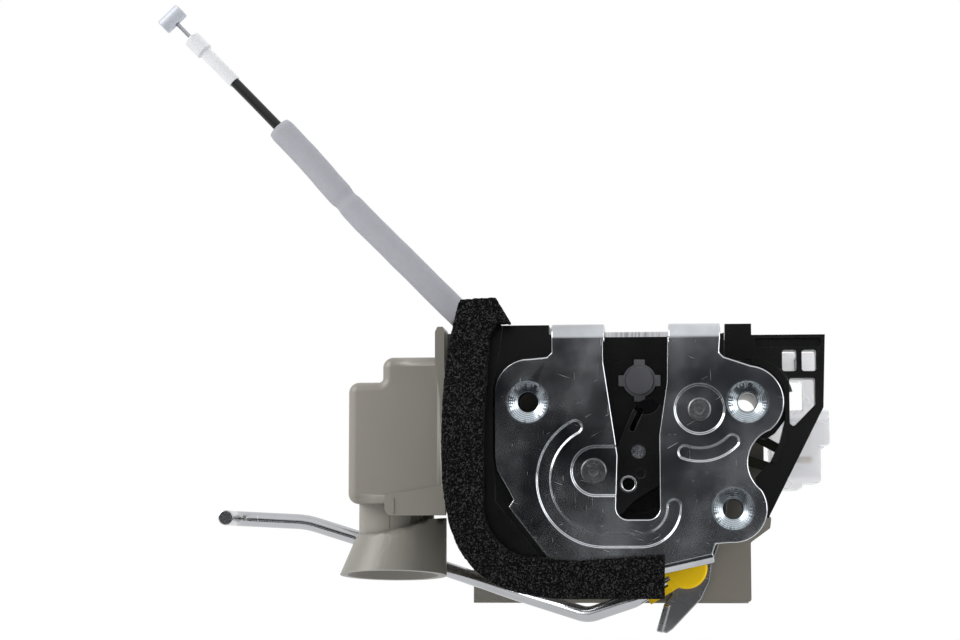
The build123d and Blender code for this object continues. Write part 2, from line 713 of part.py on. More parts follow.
with BuildPart() as claw_bush:
    with BuildSketch(claw_plane(CLAW_BACK - 0.3)):
        with Locations(SPRING_HOLE):
            Circle(BUSH_R)
            Circle(BUSH_BORE_R, mode=Mode.SUBTRACT)
    extrude(amount=CLAW_BACK - CLAW_FRONT - 0.5)
    chamfer(claw_bush.edges().sort_by(Axis.Y)[:2], 0.2)
finish(claw_bush, "claw_bush")


# ---------------------------------------------------------------- springs
def coil(centre, radius, wire_r, front, back, turns, leg):
    """A torsion spring about a pivot, its last turn running out into a straight leg."""
    with BuildPart() as spring:
        with BuildLine() as path:
            Helix(
                pitch=(back - front) / turns,
                height=back - front,
                radius=radius,
                center=(centre[0], front, centre[1]),
                direction=(0, 1, 0),
            )
        with BuildSketch(Plane(origin=path.line @ 0, z_dir=path.line % 0)):
            Circle(wire_r)
        sweep(path=path.line, is_frenet=True)
        with BuildSketch(Plane(origin=path.line @ 1, z_dir=path.line % 1)):
            Circle(wire_r)
        extrude(amount=leg)
    return spring


claw_spring = coil(CLAW_PIVOT, CLAW_SPRING_R, 0.6, 10.7, 12.4, 1.4, 1.0)
finish(claw_spring, "claw_spring")


# ---------------------------------------------------------------- pawl (drawn engaged, then lifted)
def pawl_outline():
    nose_in = polar(NOSE_R, 3.8, CLAW_PIVOT)
    nose_out = polar(NOSE_R + 3.6, 3.8, CLAW_PIVOT)
    with BuildSketch() as outline:
        with BuildLine():
            Polyline(
                nose_in,
                nose_out,
                (15.6, 2.6),
                (20.6, 2.6),
                (21.4, 8.0),
                (PAWL_X + PAWL_HUB_R - 0.1, PAWL_Z - 1.0),
                (PAWL_X, PAWL_Z),
                (PAWL_X - PAWL_HUB_R + 0.1, PAWL_Z - 1.0),
                (11.6, 9.6),
                close=True,
            )
        make_face()
        with Locations(PAWL_PIVOT):
            Circle(PAWL_HUB_R)
    return outline.sketch


def lifted(sketch):
    """A sketch drawn with the pawl engaged, turned to where the pawl rests lifted."""
    pivot_at = Pos(PAWL_X, PAWL_Z)
    return pivot_at * Rot(0, 0, PAWL_LIFT_DEG) * pivot_at.inverse() * sketch


with BuildPart() as pawl_core:
    with BuildSketch(depth(CORE_BACK)):
        add(lifted(pawl_outline()))
        with Locations(PAWL_PIVOT):
            Circle(PAWL_PIN_R + RUNNING, mode=Mode.SUBTRACT)
    extrude(amount=CORE_BACK - CORE_FRONT)
    with BuildSketch(depth(LEVER_BACK + 0.6)):
        with Locations(LUG_AT_REST):
            Circle(LUG_R)
    extrude(amount=LEVER_BACK + 0.6 - CORE_BACK)
finish(pawl_core, "pawl_core")

with BuildPart() as pawl_coat:
    for front, back in ((CLAW_FRONT, CORE_FRONT), (CORE_BACK, CLAW_BACK)):
        with BuildSketch(depth(back)):
            with BuildSketch(mode=Mode.PRIVATE) as skin:
                add(pawl_outline())
                offset(amount=-0.8)
            add(lifted(skin.sketch))
            with Locations(PAWL_PIVOT):
                Circle(PAWL_PIN_R + 0.5, mode=Mode.SUBTRACT)
            with Locations(LUG_AT_REST):
                Circle(LUG_R + 0.1, mode=Mode.SUBTRACT)
        extrude(amount=back - front)
finish(pawl_coat, "pawl_coat")

pawl_spring = coil(PAWL_PIVOT, PAWL_SPRING_R, 0.4, 10.5, 12.5, 2.4, 0.8)
finish(pawl_spring, "pawl_spring")


# ---------------------------------------------------------------- release lever
FORK_REACH = hypot(LUG_AT_REST[0] - LEVER_X, LUG_AT_REST[1] - LEVER_Z)
FORK_DEG = degrees(atan2(LUG_AT_REST[1] - LEVER_Z, LUG_AT_REST[0] - LEVER_X))
HUB_HOLE_R = 2.8
LEVER_LIP = 4.4  # depth of the lip bent forward along the lower end

with BuildPart() as release_lever:
    with BuildSketch(depth(LEVER_BACK)):
        with BuildLine():
            Polyline(
                (LEVER_X - 6.6, LEVER_Z + 1.0),
                polar(FORK_REACH + 2.8, FORK_DEG + 11, LEVER_PIVOT),
                polar(FORK_REACH + 2.8, FORK_DEG - 14, LEVER_PIVOT),
                (LEVER_X + 7.4, LEVER_Z + 0.5),
                (22.6, -18.0),
                (20.7, -22.8),
                (20.0, -27.7),
                (17.6, -32.6),
                (9.5, -41.1),
                (7.8, -42.3),
                (4.8, -41.6),
                (7.0, -34.2),
                (9.4, -31.0),
                (7.2, -25.0),
                (8.6, -19.4),
                close=True,
            )
        make_face()
        with Locations(HUB):
            Circle(7.2)
        # fork round the lug, bores of the pivot and of the clip
        with Locations(polar(FORK_REACH + 2.0, FORK_DEG, LEVER_PIVOT)):
            Rectangle(7.6, 2 * (LUG_R + LUG_CLEAR), rotation=FORK_DEG, mode=Mode.SUBTRACT)
        with Locations(polar(FORK_REACH - 1.8, FORK_DEG, LEVER_PIVOT)):
            Circle(LUG_R + LUG_CLEAR, mode=Mode.SUBTRACT)
        with Locations(LEVER_PIVOT):
            Circle(TENON_R + RUNNING, mode=Mode.SUBTRACT)
        with Locations(HUB):
            Circle(HUB_HOLE_R, mode=Mode.SUBTRACT)
    extrude(amount=LEVER_T)
    with BuildSketch(depth(LEVER_FRONT)):
        with BuildLine():
            Polyline((4.8, -41.6), (7.0, -34.2), (8.6, -34.6), (6.5, -42.0), close=True)
        make_face()
    extrude(amount=LEVER_LIP)
finish(release_lever, "release_lever")


# ---------------------------------------------------------------- rod and its clip
ROD_END = (-1.4, 11.0, -32.7)  # where the rod leaves the arm of the clip
ROD_POINTS = [
    (HUB_X, LEVER_BACK + 1.0, HUB_Z),
    (HUB_X, 11.0, HUB_Z),
    ROD_END,
    (-14.7, 17.0, -37.3),
    (-36.0, 30.0, -31.2),
    (-57.8, 42.4, -24.4),
    (-85.8, 43.2, -14.8),
    (-100.5, 43.2, -10.2),
    (-122.6, 43.2, -9.1),
    (-122.6, 28.0, -9.1),
]
ROD_RADII = [4.6, 5.2, 9.0, 60.0, 40.0, 24.0, 24.0, 5.5]

with BuildPart() as release_rod:
    with BuildLine() as rod_path:
        FilletPolyline(*ROD_POINTS, radius=ROD_RADII)
    with BuildSketch(Plane(origin=rod_path.line @ 0, z_dir=rod_path.line % 0)):
        Circle(ROD_D / 2)
    sweep(path=rod_path.line, transition=Transition.ROUND)
finish(release_rod, "release_rod")

arm_way = Vector(ROD_END[0] - HUB_X, 0, ROD_END[2] - HUB_Z).normalized()
ARM_PLANE = Plane(origin=(HUB_X, ROD_END[1], HUB_Z), x_dir=(0, 1, 0), z_dir=arm_way)
ARM_LENGTH = hypot(ROD_END[0] - HUB_X, ROD_END[2] - HUB_Z) - 1.5

with BuildPart() as rod_clip:
    with BuildSketch(depth(CLIP_BACK)):
        with Locations(HUB):
            Circle(CLIP_R)
    extrude(amount=CLIP_BACK - CLIP_FRONT)
    fillet(rod_clip.edges().filter_by(GeomType.CIRCLE).sort_by(Axis.Y)[0], 0.8)
    # snap neck through the bore of the lever
    with BuildSketch(depth(LEVER_BACK + 0.9)):
        with Locations(HUB):
            Circle(HUB_HOLE_R - RUNNING)
    extrude(amount=LEVER_BACK + 0.9 - CLIP_BACK)
    # arm with a channel that snaps over the rod
    with BuildSketch(ARM_PLANE.offset(CLIP_R - 2.0)):
        with BuildLine():
            wall = ROD_D / 2 + 1.4
            Polyline((-2.2, -wall), (wall, -wall), (wall, wall), (-2.2, wall), close=True)
        make_face()
    extrude(amount=ARM_LENGTH - CLIP_R)
    with BuildLine() as clip_bore:
        FilletPolyline(
            (HUB_X, LEVER_BACK + 2.0, HUB_Z),
            (HUB_X, ROD_END[1], HUB_Z),
            (HUB_X + 30 * arm_way.X, ROD_END[1], HUB_Z + 30 * arm_way.Z),
            radius=ROD_RADII[0],
        )
    with BuildSketch(Plane(origin=clip_bore.line @ 0, z_dir=clip_bore.line % 0)):
        Circle(ROD_D / 2 + 0.05)
    sweep(path=clip_bore.line, mode=Mode.SUBTRACT)
    # the mouth of the channel, open towards the viewer
    with BuildSketch(ARM_PLANE.offset(CLIP_R + 1.0)):
        with Locations((-3, 0)):
            Rectangle(6, ROD_D * 0.8)
    extrude(amount=ARM_LENGTH, mode=Mode.SUBTRACT)
finish(rod_clip, "rod_clip")


# ---------------------------------------------------------------- actuator housing (beige moulding)
CASE_TOP = 42.0
CASE_RIGHT = 36.0
COVER_SCREWS = ((-69.5, 32.2), (-46.0, -13.5), (27.0, -28.5), (31.0, 36.5), (-50.0, 36.0))
COVER_SCREW_R = 1.3
WELL_R, WELL_WALL = 3.6, 1.4


def case_outline():
    """Outline of the housing behind the back plate."""
    with BuildSketch() as outline:
        add(
            polygon(
                (BLOCK_LEFT, BLOCK_BOTTOM), (BLOCK_LEFT, BLOCK_TOP), (STEP_LEFT, BLOCK_TOP), (STEP_LEFT, STEP_TOP),
                (-58.0, STEP_TOP), (-57.5, CASE_TOP), (CASE_RIGHT - 4, CASE_TOP), (CASE_RIGHT, CASE_TOP - 4),
                (CASE_RIGHT, -9.0), (38.0, -9.0), (37.6, -12.4), (32.0, -16.5), (32.0, -33.4), (4.0, -33.4),
                (-14.0, -30.4), (-34.0, -25.0), (-52.0, -17.5), (-52.0, BLOCK_BOTTOM),
            )  # fmt: skip
        )
        fillet(outline.vertices().group_by(Axis.X)[0], 2.5)
        fillet(outline.vertices().filter_by(lambda v: v.X > CASE_RIGHT - 5), 0.8)
    return outline.sketch


def inset(sketch, wall):
    """A face drawn in by the thickness of a wall."""
    with BuildSketch() as inner:
        add(sketch)
        offset(amount=-wall, kind=Kind.INTERSECTION)
    return inner.sketch


def block_outline():
    """Front face of the key housing, in front of the rest of the housing."""
    with BuildSketch() as outline:
        add(
            polygon(
                (BLOCK_LEFT, BLOCK_BOTTOM), (BLOCK_LEFT, BLOCK_TOP), (STEP_LEFT, BLOCK_TOP), (STEP_LEFT, STEP_TOP),
                (BLOCK_RIGHT, STEP_TOP), (BLOCK_RIGHT, BLOCK_BOTTOM),
            )  # fmt: skip
        )
        fillet(outline.vertices().filter_by(lambda v: v.X < STEP_LEFT - 1 or v.Y > STEP_TOP - 1), 3.0)
        fillet(outline.vertices().filter_by(lambda v: v.X > BLOCK_RIGHT - 1 and v.Y < 0), 3.0)
        fillet(outline.vertices().sort_by_distance((STEP_LEFT, BLOCK_TOP))[0], 1.2)
    return outline.sketch


BLOCK_ROUND = 2.8
LIP_FRONT = 7.0
TAB_X, TAB_Z, TAB_THICK = -72.4, -8.8, 2.8
TAB_RIB_L = 4.6
KEY_SHAFT_R = 2.5
ROTOR_R = 8.6
MOTOR_Z = 12.0
MOTOR_Y = 33.0
WHEEL_X, WHEEL_Z = -8.0, -7.4
WHEEL_AXLE_R = 2.0
LOCK_X, LOCK_Z = 15.0, -6.0
LOCK_AXLE_R = 2.0

# solid scoop: flaring to the left, upright on the right, its top and its mouth cut off at a slant
with BuildPart() as scoop:
    for radius, z in ((SCOOP_TOP_R, SCOOP_TOP_Z), (SCOOP_RIM_R, SCOOP_RIM_Z)):
        with BuildSketch(Plane.XY.offset(z)):
            with Locations((SCOOP_RIGHT - radius, FUNNEL_Y)):
                Circle(radius)
    loft()
    with BuildSketch(Plane.XZ.offset(-FUNNEL_Y)):
        add(
            polygon(
                (-92.0, -14.0), (-81.0, -13.8), (-72.0, -13.2), (-66.0, -11.8), (-61.0, -9.8), (-56.0, -9.3),
                (-50.0, 0.0), (-92.0, 0.0),
            )  # fmt: skip
        )
    extrude(amount=20, both=True, mode=Mode.SUBTRACT)
    with BuildSketch(Plane.YZ.offset(FUNNEL_X)):
        add(polygon((0.0, -23.2), (50.0, -28.7), (50.0, -40.0), (0.0, -40.0)))
    extrude(amount=25, both=True, mode=Mode.SUBTRACT)

with BuildPart() as actuator_case:
    with BuildSketch(depth(CASE_BACK)):
        add(case_outline())
    extrude(amount=CASE_BACK - CASE_FRONT)
    with BuildSketch(depth(CASE_FRONT)):
        add(block_outline())
    extrude(amount=CASE_FRONT - BLOCK_FRONT)
    fillet(actuator_case.faces().sort_by(Axis.Y)[0].edges(), BLOCK_ROUND)
    # thin lip that follows the seal, and the shoulder behind it
    with BuildSketch(depth(CASE_FRONT + 1.0)):
        add(
            polygon(
                (-57.9, 35.0), (-57.9, 43.8), (-57.2, 45.2), (-55.7, 45.2), (-55.2, 44.0), (-55.2, 36.0), (-54.9, 25.0),
                (-54.7, 10.0), (-54.7, -3.0), (-55.8, -3.0), (-55.9, 10.0), (-56.5, 25.0),
            )  # fmt: skip
        )
    extrude(amount=CASE_FRONT + 1.0 - LIP_FRONT)
    with BuildSketch(depth(CASE_FRONT + 8.0)):
        add(polygon((-57.5, CASE_TOP - 3), (-57.5, 44.4), (-52.2, 44.4), (-52.2, CASE_TOP - 3)))
    extrude(amount=8.0)
    # tab at the front, below the key housing
    with BuildSketch(depth(BLOCK_FRONT + TAB_THICK)):
        add(
            polygon((TAB_X, BLOCK_BOTTOM + 2.5), (TAB_X, TAB_Z), (BLOCK_RIGHT - 0.3, TAB_Z), (BLOCK_RIGHT - 0.3, 0.0))
        )
        fillet(vertices().sort_by_distance((TAB_X, TAB_Z))[0], 2.2)
    extrude(amount=TAB_THICK + 0.3)
    with BuildSketch(depth(BLOCK_FRONT)):
        with Locations((TAB_X + 2.4, (TAB_Z + BLOCK_BOTTOM + 2.5) / 2)):
            SlotOverall(TAB_RIB_L, 0.7, rotation=90)
    extrude(amount=0.6)
    # hollow of the housing and of the key housing
    with BuildSketch(depth(CASE_BACK)):
        add(inset(case_outline(), CASE_WALL))
    extrude(amount=CASE_BACK - CASE_FRONT - CASE_WALL, mode=Mode.SUBTRACT)
    with BuildSketch(depth(CASE_FRONT + CASE_WALL)):
        add(inset(block_outline(), CASE_WALL))
    extrude(amount=CASE_FRONT + CASE_WALL - BLOCK_FRONT - CASE_WALL, mode=Mode.SUBTRACT)
    # neck and scoop that guide the key rod into the rotor
    add(scoop.part)
    with BuildSketch(Plane.XY.offset(FUNNEL_NECK_Z - 0.5)):
        with Locations((FUNNEL_X, FUNNEL_Y)):
            Circle(FUNNEL_NECK_R)
    extrude(amount=BLOCK_BOTTOM + 1.0 - FUNNEL_NECK_Z + 0.5)
    with BuildSketch(Plane.XY.offset(FUNNEL_NECK_Z)):
        with Locations((FUNNEL_X, FUNNEL_Y)):
            Circle(FUNNEL_NECK_R - FUNNEL_WALL)
    with BuildSketch(Plane.XY.offset(SCOOP_RIM_Z - 0.5)):
        with Locations((SCOOP_RIGHT - SCOOP_RIM_R, FUNNEL_Y)):
            Circle(SCOOP_RIM_R - FUNNEL_WALL)
    loft(mode=Mode.SUBTRACT)
    with BuildSketch(Plane.XY.offset(FUNNEL_NECK_Z - 0.2)):
        with Locations((FUNNEL_X, FUNNEL_Y)):
            Circle(FUNNEL_NECK_R - FUNNEL_WALL)
    extrude(amount=BLOCK_BOTTOM - 0.5 - FUNNEL_NECK_Z + 0.2, mode=Mode.SUBTRACT)
    with BuildSketch(Plane.XY.offset(BLOCK_BOTTOM - 3)):
        with Locations((FUNNEL_X, FUNNEL_Y)):
            Circle(KEY_SHAFT_R + RUNNING)
    extrude(amount=3 + CASE_WALL + 1, mode=Mode.SUBTRACT)
    # bosses of the wheel and lock lever axles, standing on the front wall
    with BuildSketch(depth(CASE_FRONT + CASE_WALL + 3.0)):
        with Locations((WHEEL_X, WHEEL_Z), (LOCK_X, LOCK_Z)):
            Circle(4.0)
    extrude(amount=3.0)
    with BuildSketch(depth(CASE_FRONT + CASE_WALL + 3.0)):
        with Locations((WHEEL_X, WHEEL_Z), (LOCK_X, LOCK_Z)):
            Circle(WHEEL_AXLE_R)
    extrude(amount=4.0, mode=Mode.SUBTRACT)
    # bosses of the cover screws
    with BuildSketch(depth(CASE_BACK)):
        with Locations(*COVER_SCREWS):
            Circle(3.2)
    extrude(amount=CASE_BACK - CASE_FRONT - CASE_WALL)
    with BuildSketch(depth(CASE_BACK)):
        with Locations(*COVER_SCREWS):
            Circle(COVER_SCREW_R)
    extrude(amount=12.0, mode=Mode.SUBTRACT)
    # open well behind the upper right screw
    with BuildSketch(depth(CASE_BACK)):
        with Locations(SCREW_TR):
            Circle(WELL_R + WELL_WALL)
    extrude(amount=CASE_BACK - CASE_FRONT)
    with BuildSketch(depth(CASE_BACK)):
        with Locations(SCREW_TR):
            Circle(WELL_R)
    extrude(amount=CASE_BACK - CASE_FRONT, mode=Mode.SUBTRACT)
    # cradle of the motor
    with BuildSketch(depth(CASE_FRONT + CASE_WALL + 6.0)):
        for x in (-42.0, -22.0):
            with Locations((x, MOTOR_Z)):
                Rectangle(2.0, 18.0)
    extrude(amount=6.0)
    with BuildSketch(Plane.YZ.offset(-50)):
        with Locations((MOTOR_Y, MOTOR_Z)):
            Circle(10.0)
    extrude(amount=40, mode=Mode.SUBTRACT)
finish(actuator_case, "actuator_case")

with BuildPart() as actuator_cover:
    with BuildSketch(depth(CASE_BACK + COVER_T)):
        add(case_outline())
        add(polygon((-50.0, -15.0), (-50.0, -34.4), (32.0, -34.4), (32.0, -15.0)))
    extrude(amount=COVER_T)
    # locating rim inside the housing
    with BuildSketch(depth(CASE_BACK)):
        add(inset(case_outline(), CASE_WALL + 0.2))
        add(inset(case_outline(), CASE_WALL + 1.6), mode=Mode.SUBTRACT)
    extrude(amount=2.0)
    with BuildSketch(depth(CASE_BACK + COVER_T)):
        with Locations(*COVER_SCREWS):
            Circle(COVER_SCREW_R + 0.2)
    extrude(amount=COVER_T + 2.0, mode=Mode.SUBTRACT)
    with BuildSketch(depth(CASE_BACK)):
        with Locations(*COVER_SCREWS):
            Circle(3.5)
    extrude(amount=2.0, mode=Mode.SUBTRACT)
    with BuildSketch(depth(CASE_BACK)):
        with Locations(SCREW_TR):
            Circle(WELL_R + WELL_WALL + 0.2)
    extrude(amount=2.0, mode=Mode.SUBTRACT)
    # raised pan over the gears, with stiffening ribs
    with BuildSketch(depth(CASE_BACK + COVER_T + 3.0)):
        with Locations((-9.0, 2.0)):
            RectangleRounded(64.0, 44.0, 6.0)
    extrude(amount=3.0)
    chamfer(actuator_cover.faces().sort_by(Axis.Y)[-1].edges(), 1.2)
    with BuildSketch(depth(CASE_BACK + COVER_T)):
        with Locations(SCREW_TR):
            Circle(WELL_R)
    extrude(amount=COVER_T, mode=Mode.SUBTRACT)
    with BuildSketch(depth(CASE_BACK + COVER_T + 1.4)):
        with Locations((-64.0, 9.0)):
            with GridLocations(6.0, 0, 4, 1):
                Rectangle(1.4, 22.0)
    extrude(amount=1.4)
    # sockets of the two axles
    with BuildSketch(depth(CASE_BACK)):
        with Locations((WHEEL_X, WHEEL_Z), (LOCK_X, LOCK_Z)):
            Circle(4.0)
            Circle(WHEEL_AXLE_R, mode=Mode.SUBTRACT)
    extrude(amount=3.0)
finish(actuator_cover, "actuator_cover")


# ---------------------------------------------------------------- key rotor in the funnel
with BuildPart() as key_rotor:
    with BuildSketch(Plane.XY.offset(-12.2)):
        with Locations((FUNNEL_X, FUNNEL_Y)):
            Circle(ROTOR_R)
    extrude(amount=5.6)
    with BuildSketch(Plane.XY.offset(-12.2)):
        with Locations((FUNNEL_X, FUNNEL_Y)):
            Rectangle(12.0, 2.6)
            Rectangle(2.6, 12.0)
    extrude(amount=4.2, mode=Mode.SUBTRACT)
    with BuildSketch(Plane.XY.offset(-12.2 + 5.6)):
        with Locations((FUNNEL_X, FUNNEL_Y)):
            Circle(KEY_SHAFT_R)
    extrude(amount=8.2)
    # crank inside the housing
    with BuildSketch(Plane.XY.offset(-2.6)):
        with Locations((FUNNEL_X, FUNNEL_Y)):
            Circle(4.6)
            with Locations((0, 4.5)):
                Rectangle(4.0, 9.0)
            with Locations((0, 9.0)):
                Circle(2.0)
    extrude(amount=2.6)
finish(key_rotor, "key_rotor")


# ---------------------------------------------------------------- motor and gears
MOTOR_L = 30.0
MOTOR_RIGHT = -20.5
WORM_R = 3.4
WORM_L = 14.0
SHAFT_R = 1.0
WHEEL_R = 15.7
WHEEL_TEETH = 32
WHEEL_FRONT, WHEEL_BACK = 30.0, 36.0

with BuildPart() as motor_can:
    with BuildSketch(Plane.YZ.offset(MOTOR_RIGHT - MOTOR_L)):
        with Locations((MOTOR_Y, MOTOR_Z)):
            Circle(9.7)
            Rectangle(24.0, 15.2, mode=Mode.INTERSECT)
    extrude(amount=MOTOR_L)
    fillet(motor_can.faces().sort_by(Axis.X)[0].edges(), 0.8)
    with BuildSketch(Plane.YZ.offset(MOTOR_RIGHT)):
        with Locations((MOTOR_Y, MOTOR_Z)):
            Circle(3.0)
    extrude(amount=1.4)
    with BuildSketch(Plane.YZ.offset(MOTOR_RIGHT - 3.0)):
        with Locations((MOTOR_Y, MOTOR_Z)):
            Circle(SHAFT_R + RUNNING)
    extrude(amount=5.0, mode=Mode.SUBTRACT)
finish(motor_can, "motor_can")

with BuildPart() as worm:
    with BuildSketch(Plane.YZ.offset(MOTOR_RIGHT - 2.6)):
        with Locations((MOTOR_Y, MOTOR_Z)):
            Circle(SHAFT_R)
    extrude(amount=23.0)
    with BuildSketch(Plane.YZ.offset(WHEEL_X - WORM_L / 2)):
        with Locations((MOTOR_Y, MOTOR_Z)):
            Circle(WORM_R - 1.0)
    extrude(amount=WORM_L)
    with BuildLine() as thread_path:
        Helix(
            pitch=3.1,
            height=WORM_L - 2.4,
            radius=WORM_R - 0.8,
            center=(WHEEL_X - WORM_L / 2 + 1.2, MOTOR_Y, MOTOR_Z),
            direction=(1, 0, 0),
        )
    with BuildSketch(Plane(origin=thread_path.line @ 0, z_dir=thread_path.line % 0)):
        Circle(0.75)
    sweep(path=thread_path.line, is_frenet=True)
finish(worm, "worm")

with BuildPart() as worm_wheel:
    with BuildSketch(depth(WHEEL_BACK)):
        with Locations((WHEEL_X, WHEEL_Z)):
            Circle(WHEEL_R - 1.4)
            with PolarLocations(WHEEL_R - 0.9, WHEEL_TEETH):
                Trapezoid(1.6, 2.0, 72, rotation=-90)
            Circle(WHEEL_AXLE_R + RUNNING, mode=Mode.SUBTRACT)
            with PolarLocations(8.6, 5):
                Circle(2.4, mode=Mode.SUBTRACT)
    extrude(amount=WHEEL_BACK - WHEEL_FRONT)
    with BuildSketch(depth(WHEEL_FRONT)):
        with Locations((WHEEL_X, WHEEL_Z)):
            Circle(4.2)
            Circle(WHEEL_AXLE_R + RUNNING, mode=Mode.SUBTRACT)
    extrude(amount=WHEEL_FRONT - CASE_FRONT - CASE_WALL - 3.3)
    with BuildSketch(depth(40.4)):
        with Locations((WHEEL_X + 6.6, WHEEL_Z)):
            Circle(1.6)
    extrude(amount=40.4 - WHEEL_BACK)
finish(worm_wheel, "worm_wheel")

for label, x, z in (("wheel_axle", WHEEL_X, WHEEL_Z), ("lock_axle", LOCK_X, LOCK_Z)):
    with BuildPart() as axle:
        with BuildSketch(depth(CASE_BACK)):
            with Locations((x, z)):
                Circle(WHEEL_AXLE_R)
        extrude(amount=CASE_BACK - CASE_FRONT - CASE_WALL + 1.0)
    finish(axle, label)

with BuildPart() as lock_lever:
    with BuildSketch(depth(40.0)):
        with Locations((LOCK_X, LOCK_Z)):
            Circle(5.0)
            with Locations((-8.0, 0)):
                Rectangle(12.0, 6.0)
            with Locations((-14.6, -1.4)):
                Rectangle(8.8, 9.0)
        with Locations((LOCK_X - 16.4, LOCK_Z - 1.4)):
            Rectangle(8.4, 5.0, mode=Mode.SUBTRACT)
        with BuildLine():
            Polyline(
                (LOCK_X - 3, LOCK_Z + 3),
                (LOCK_X + 8, LOCK_Z + 20),
                (LOCK_X + 13, LOCK_Z + 17),
                (LOCK_X + 4, LOCK_Z - 2),
                close=True,
            )
        make_face()
        with Locations((LOCK_X, LOCK_Z)):
            Circle(LOCK_AXLE_R + RUNNING, mode=Mode.SUBTRACT)
    extrude(amount=2.8)
finish(lock_lever, "lock_lever")

with BuildPart() as cover_screws:
    for screw_x, screw_z in COVER_SCREWS:
        with BuildSketch(Plane.XY.offset(screw_z)):
            with BuildLine():
                head = CASE_BACK + COVER_T
                Polyline(
                    (screw_x, CASE_BACK - 10.0),
                    (screw_x + COVER_SCREW_R, CASE_BACK - 9.0),
                    (screw_x + COVER_SCREW_R, head),
                    (screw_x + 2.9, head),
                    (screw_x + 2.9, head + 1.2),
                    (screw_x + 2.2, head + 2.0),
                    (screw_x, head + 2.0),
                    close=True,
                )
            make_face()
        revolve(axis=Axis((screw_x, 0, screw_z), (0, 1, 0)))
finish(cover_screws, "cover_screws")

with BuildPart() as contact_carrier:
    with BuildSketch(depth(25.6)):
        with Locations((-11.5, 29.5)):
            RectangleRounded(67.0, 14.0, 2.0)
    extrude(amount=1.6)
    with BuildSketch(depth(24.0)):
        with Locations((-38.0, 29.5), (18.0, 29.5)):
            Circle(2.0)
    extrude(amount=24.0 - CASE_FRONT - CASE_WALL)
finish(contact_carrier, "contact_carrier")

for label, x in (("claw_switch", -16.0), ("lock_switch", 8.0)):
    with BuildPart() as switch:
        with BuildSketch(depth(31.6)):
            with Locations((x, 29.0)):
                Rectangle(12.8, 6.6)
        extrude(amount=6.0)
        with BuildSketch(depth(29.6)):
            with Locations((x + 2.4, 25.0)):
                Rectangle(2.4, 1.6)
        extrude(amount=2.4)
        chamfer(switch.edges().filter_by(Axis.Y), 0.3)
    finish(switch, label)


# ---------------------------------------------------------------- side frame (black moulding)
FRAME_FRONT, FRAME_BACK = 7.0, 13.0

with BuildPart() as side_frame:
    with BuildSketch(depth(FRAME_BACK)):
        add(
            polygon(
                (24.9, 45.3), (32.4, 45.3), (32.4, 42.1), (53.1, 42.1), (52.4, 21.4), (50.7, 18.0), (36.6, -9.7),
                (34.0, -9.0), (33.1, 1.7), (37.5, 6.3), (40.1, 11.8), (41.6, 18.0), (41.4, 28.0), (39.0, 32.0),
                (34.0, 35.0), (24.9, 35.8),
            )  # fmt: skip
        )
        with Locations(SCREW_TR):
            Circle(12.2)
        # two small windows and the large one
        with Locations((43.0, 34.7), (48.5, 34.7)):
            RectangleRounded(4.0, 6.0, 0.7, mode=Mode.SUBTRACT)
        with BuildSketch(mode=Mode.PRIVATE) as large_window:
            add(polygon((42.9, 29.7), (50.1, 29.7), (50.1, 22.2), (43.9, 15.9), (42.9, 17.0)))
            fillet(large_window.vertices(), 0.7)
        add(large_window.sketch, mode=Mode.SUBTRACT)
        with BuildSketch(mode=Mode.PRIVATE) as kept_clear:
            add(body_outline())
            with Locations(SCREW_TR):
                Circle(LOBE_TR_R - 0.9)
        add(kept_clear.sketch, mode=Mode.SUBTRACT)
        # open between the waist of the plate and the strut
        add(
            polygon(
                (29.0, 14.5), (36.0, 12.4), (38.8, 14.2), (41.7, 18.0), (40.1, 11.8), (37.5, 6.3), (33.1, 1.7),
                (29.0, 2.0),
            ),  # fmt: skip
            mode=Mode.SUBTRACT,
        )
    extrude(amount=FRAME_BACK - FRAME_FRONT)
    # sunk panel above the windows, with a rim round it
    with BuildSketch(depth(FRAME_FRONT + 1.2)):
        with Locations((42.6, 39.9)):
            RectangleRounded(18.6, 2.6, 0.6)
    extrude(amount=1.2, mode=Mode.SUBTRACT)
    # band round the upper right lobe of the plate
    with BuildSketch(depth(FRAME_FRONT + 1.0)):
        add(sector(13.2, 14, 82, SCREW_TR))
        with Locations(SCREW_TR):
            Circle(LOBE_TR_R + 0.9, mode=Mode.SUBTRACT)
    extrude(amount=2.0)
    # upright ridge along the strut
    with BuildSketch(depth(FRAME_FRONT)):
        add(
            polygon(
                (41.6, 18.0), (40.1, 11.8), (37.5, 6.3), (38.7, 5.8), (41.4, 11.4), (42.8, 17.8), (42.8, 29.0),
                (41.6, 29.0),
            )  # fmt: skip
        )
    extrude(amount=1.6)
    # snap hook that holds the connector
    with BuildSketch(depth(26.0)):
        add(polygon((45.4, 33.0), (46.2, 33.0), (46.2, 36.6), (45.4, 36.6)))
    extrude(amount=26.0 - FRAME_BACK)
finish(side_frame, "side_frame")


# ---------------------------------------------------------------- connector (translucent moulding)
CONN_FRONT, CONN_BACK = 24.0, 46.0
CONN_WALL = 2.0
CONN_X = 42.3  # floor of the socket

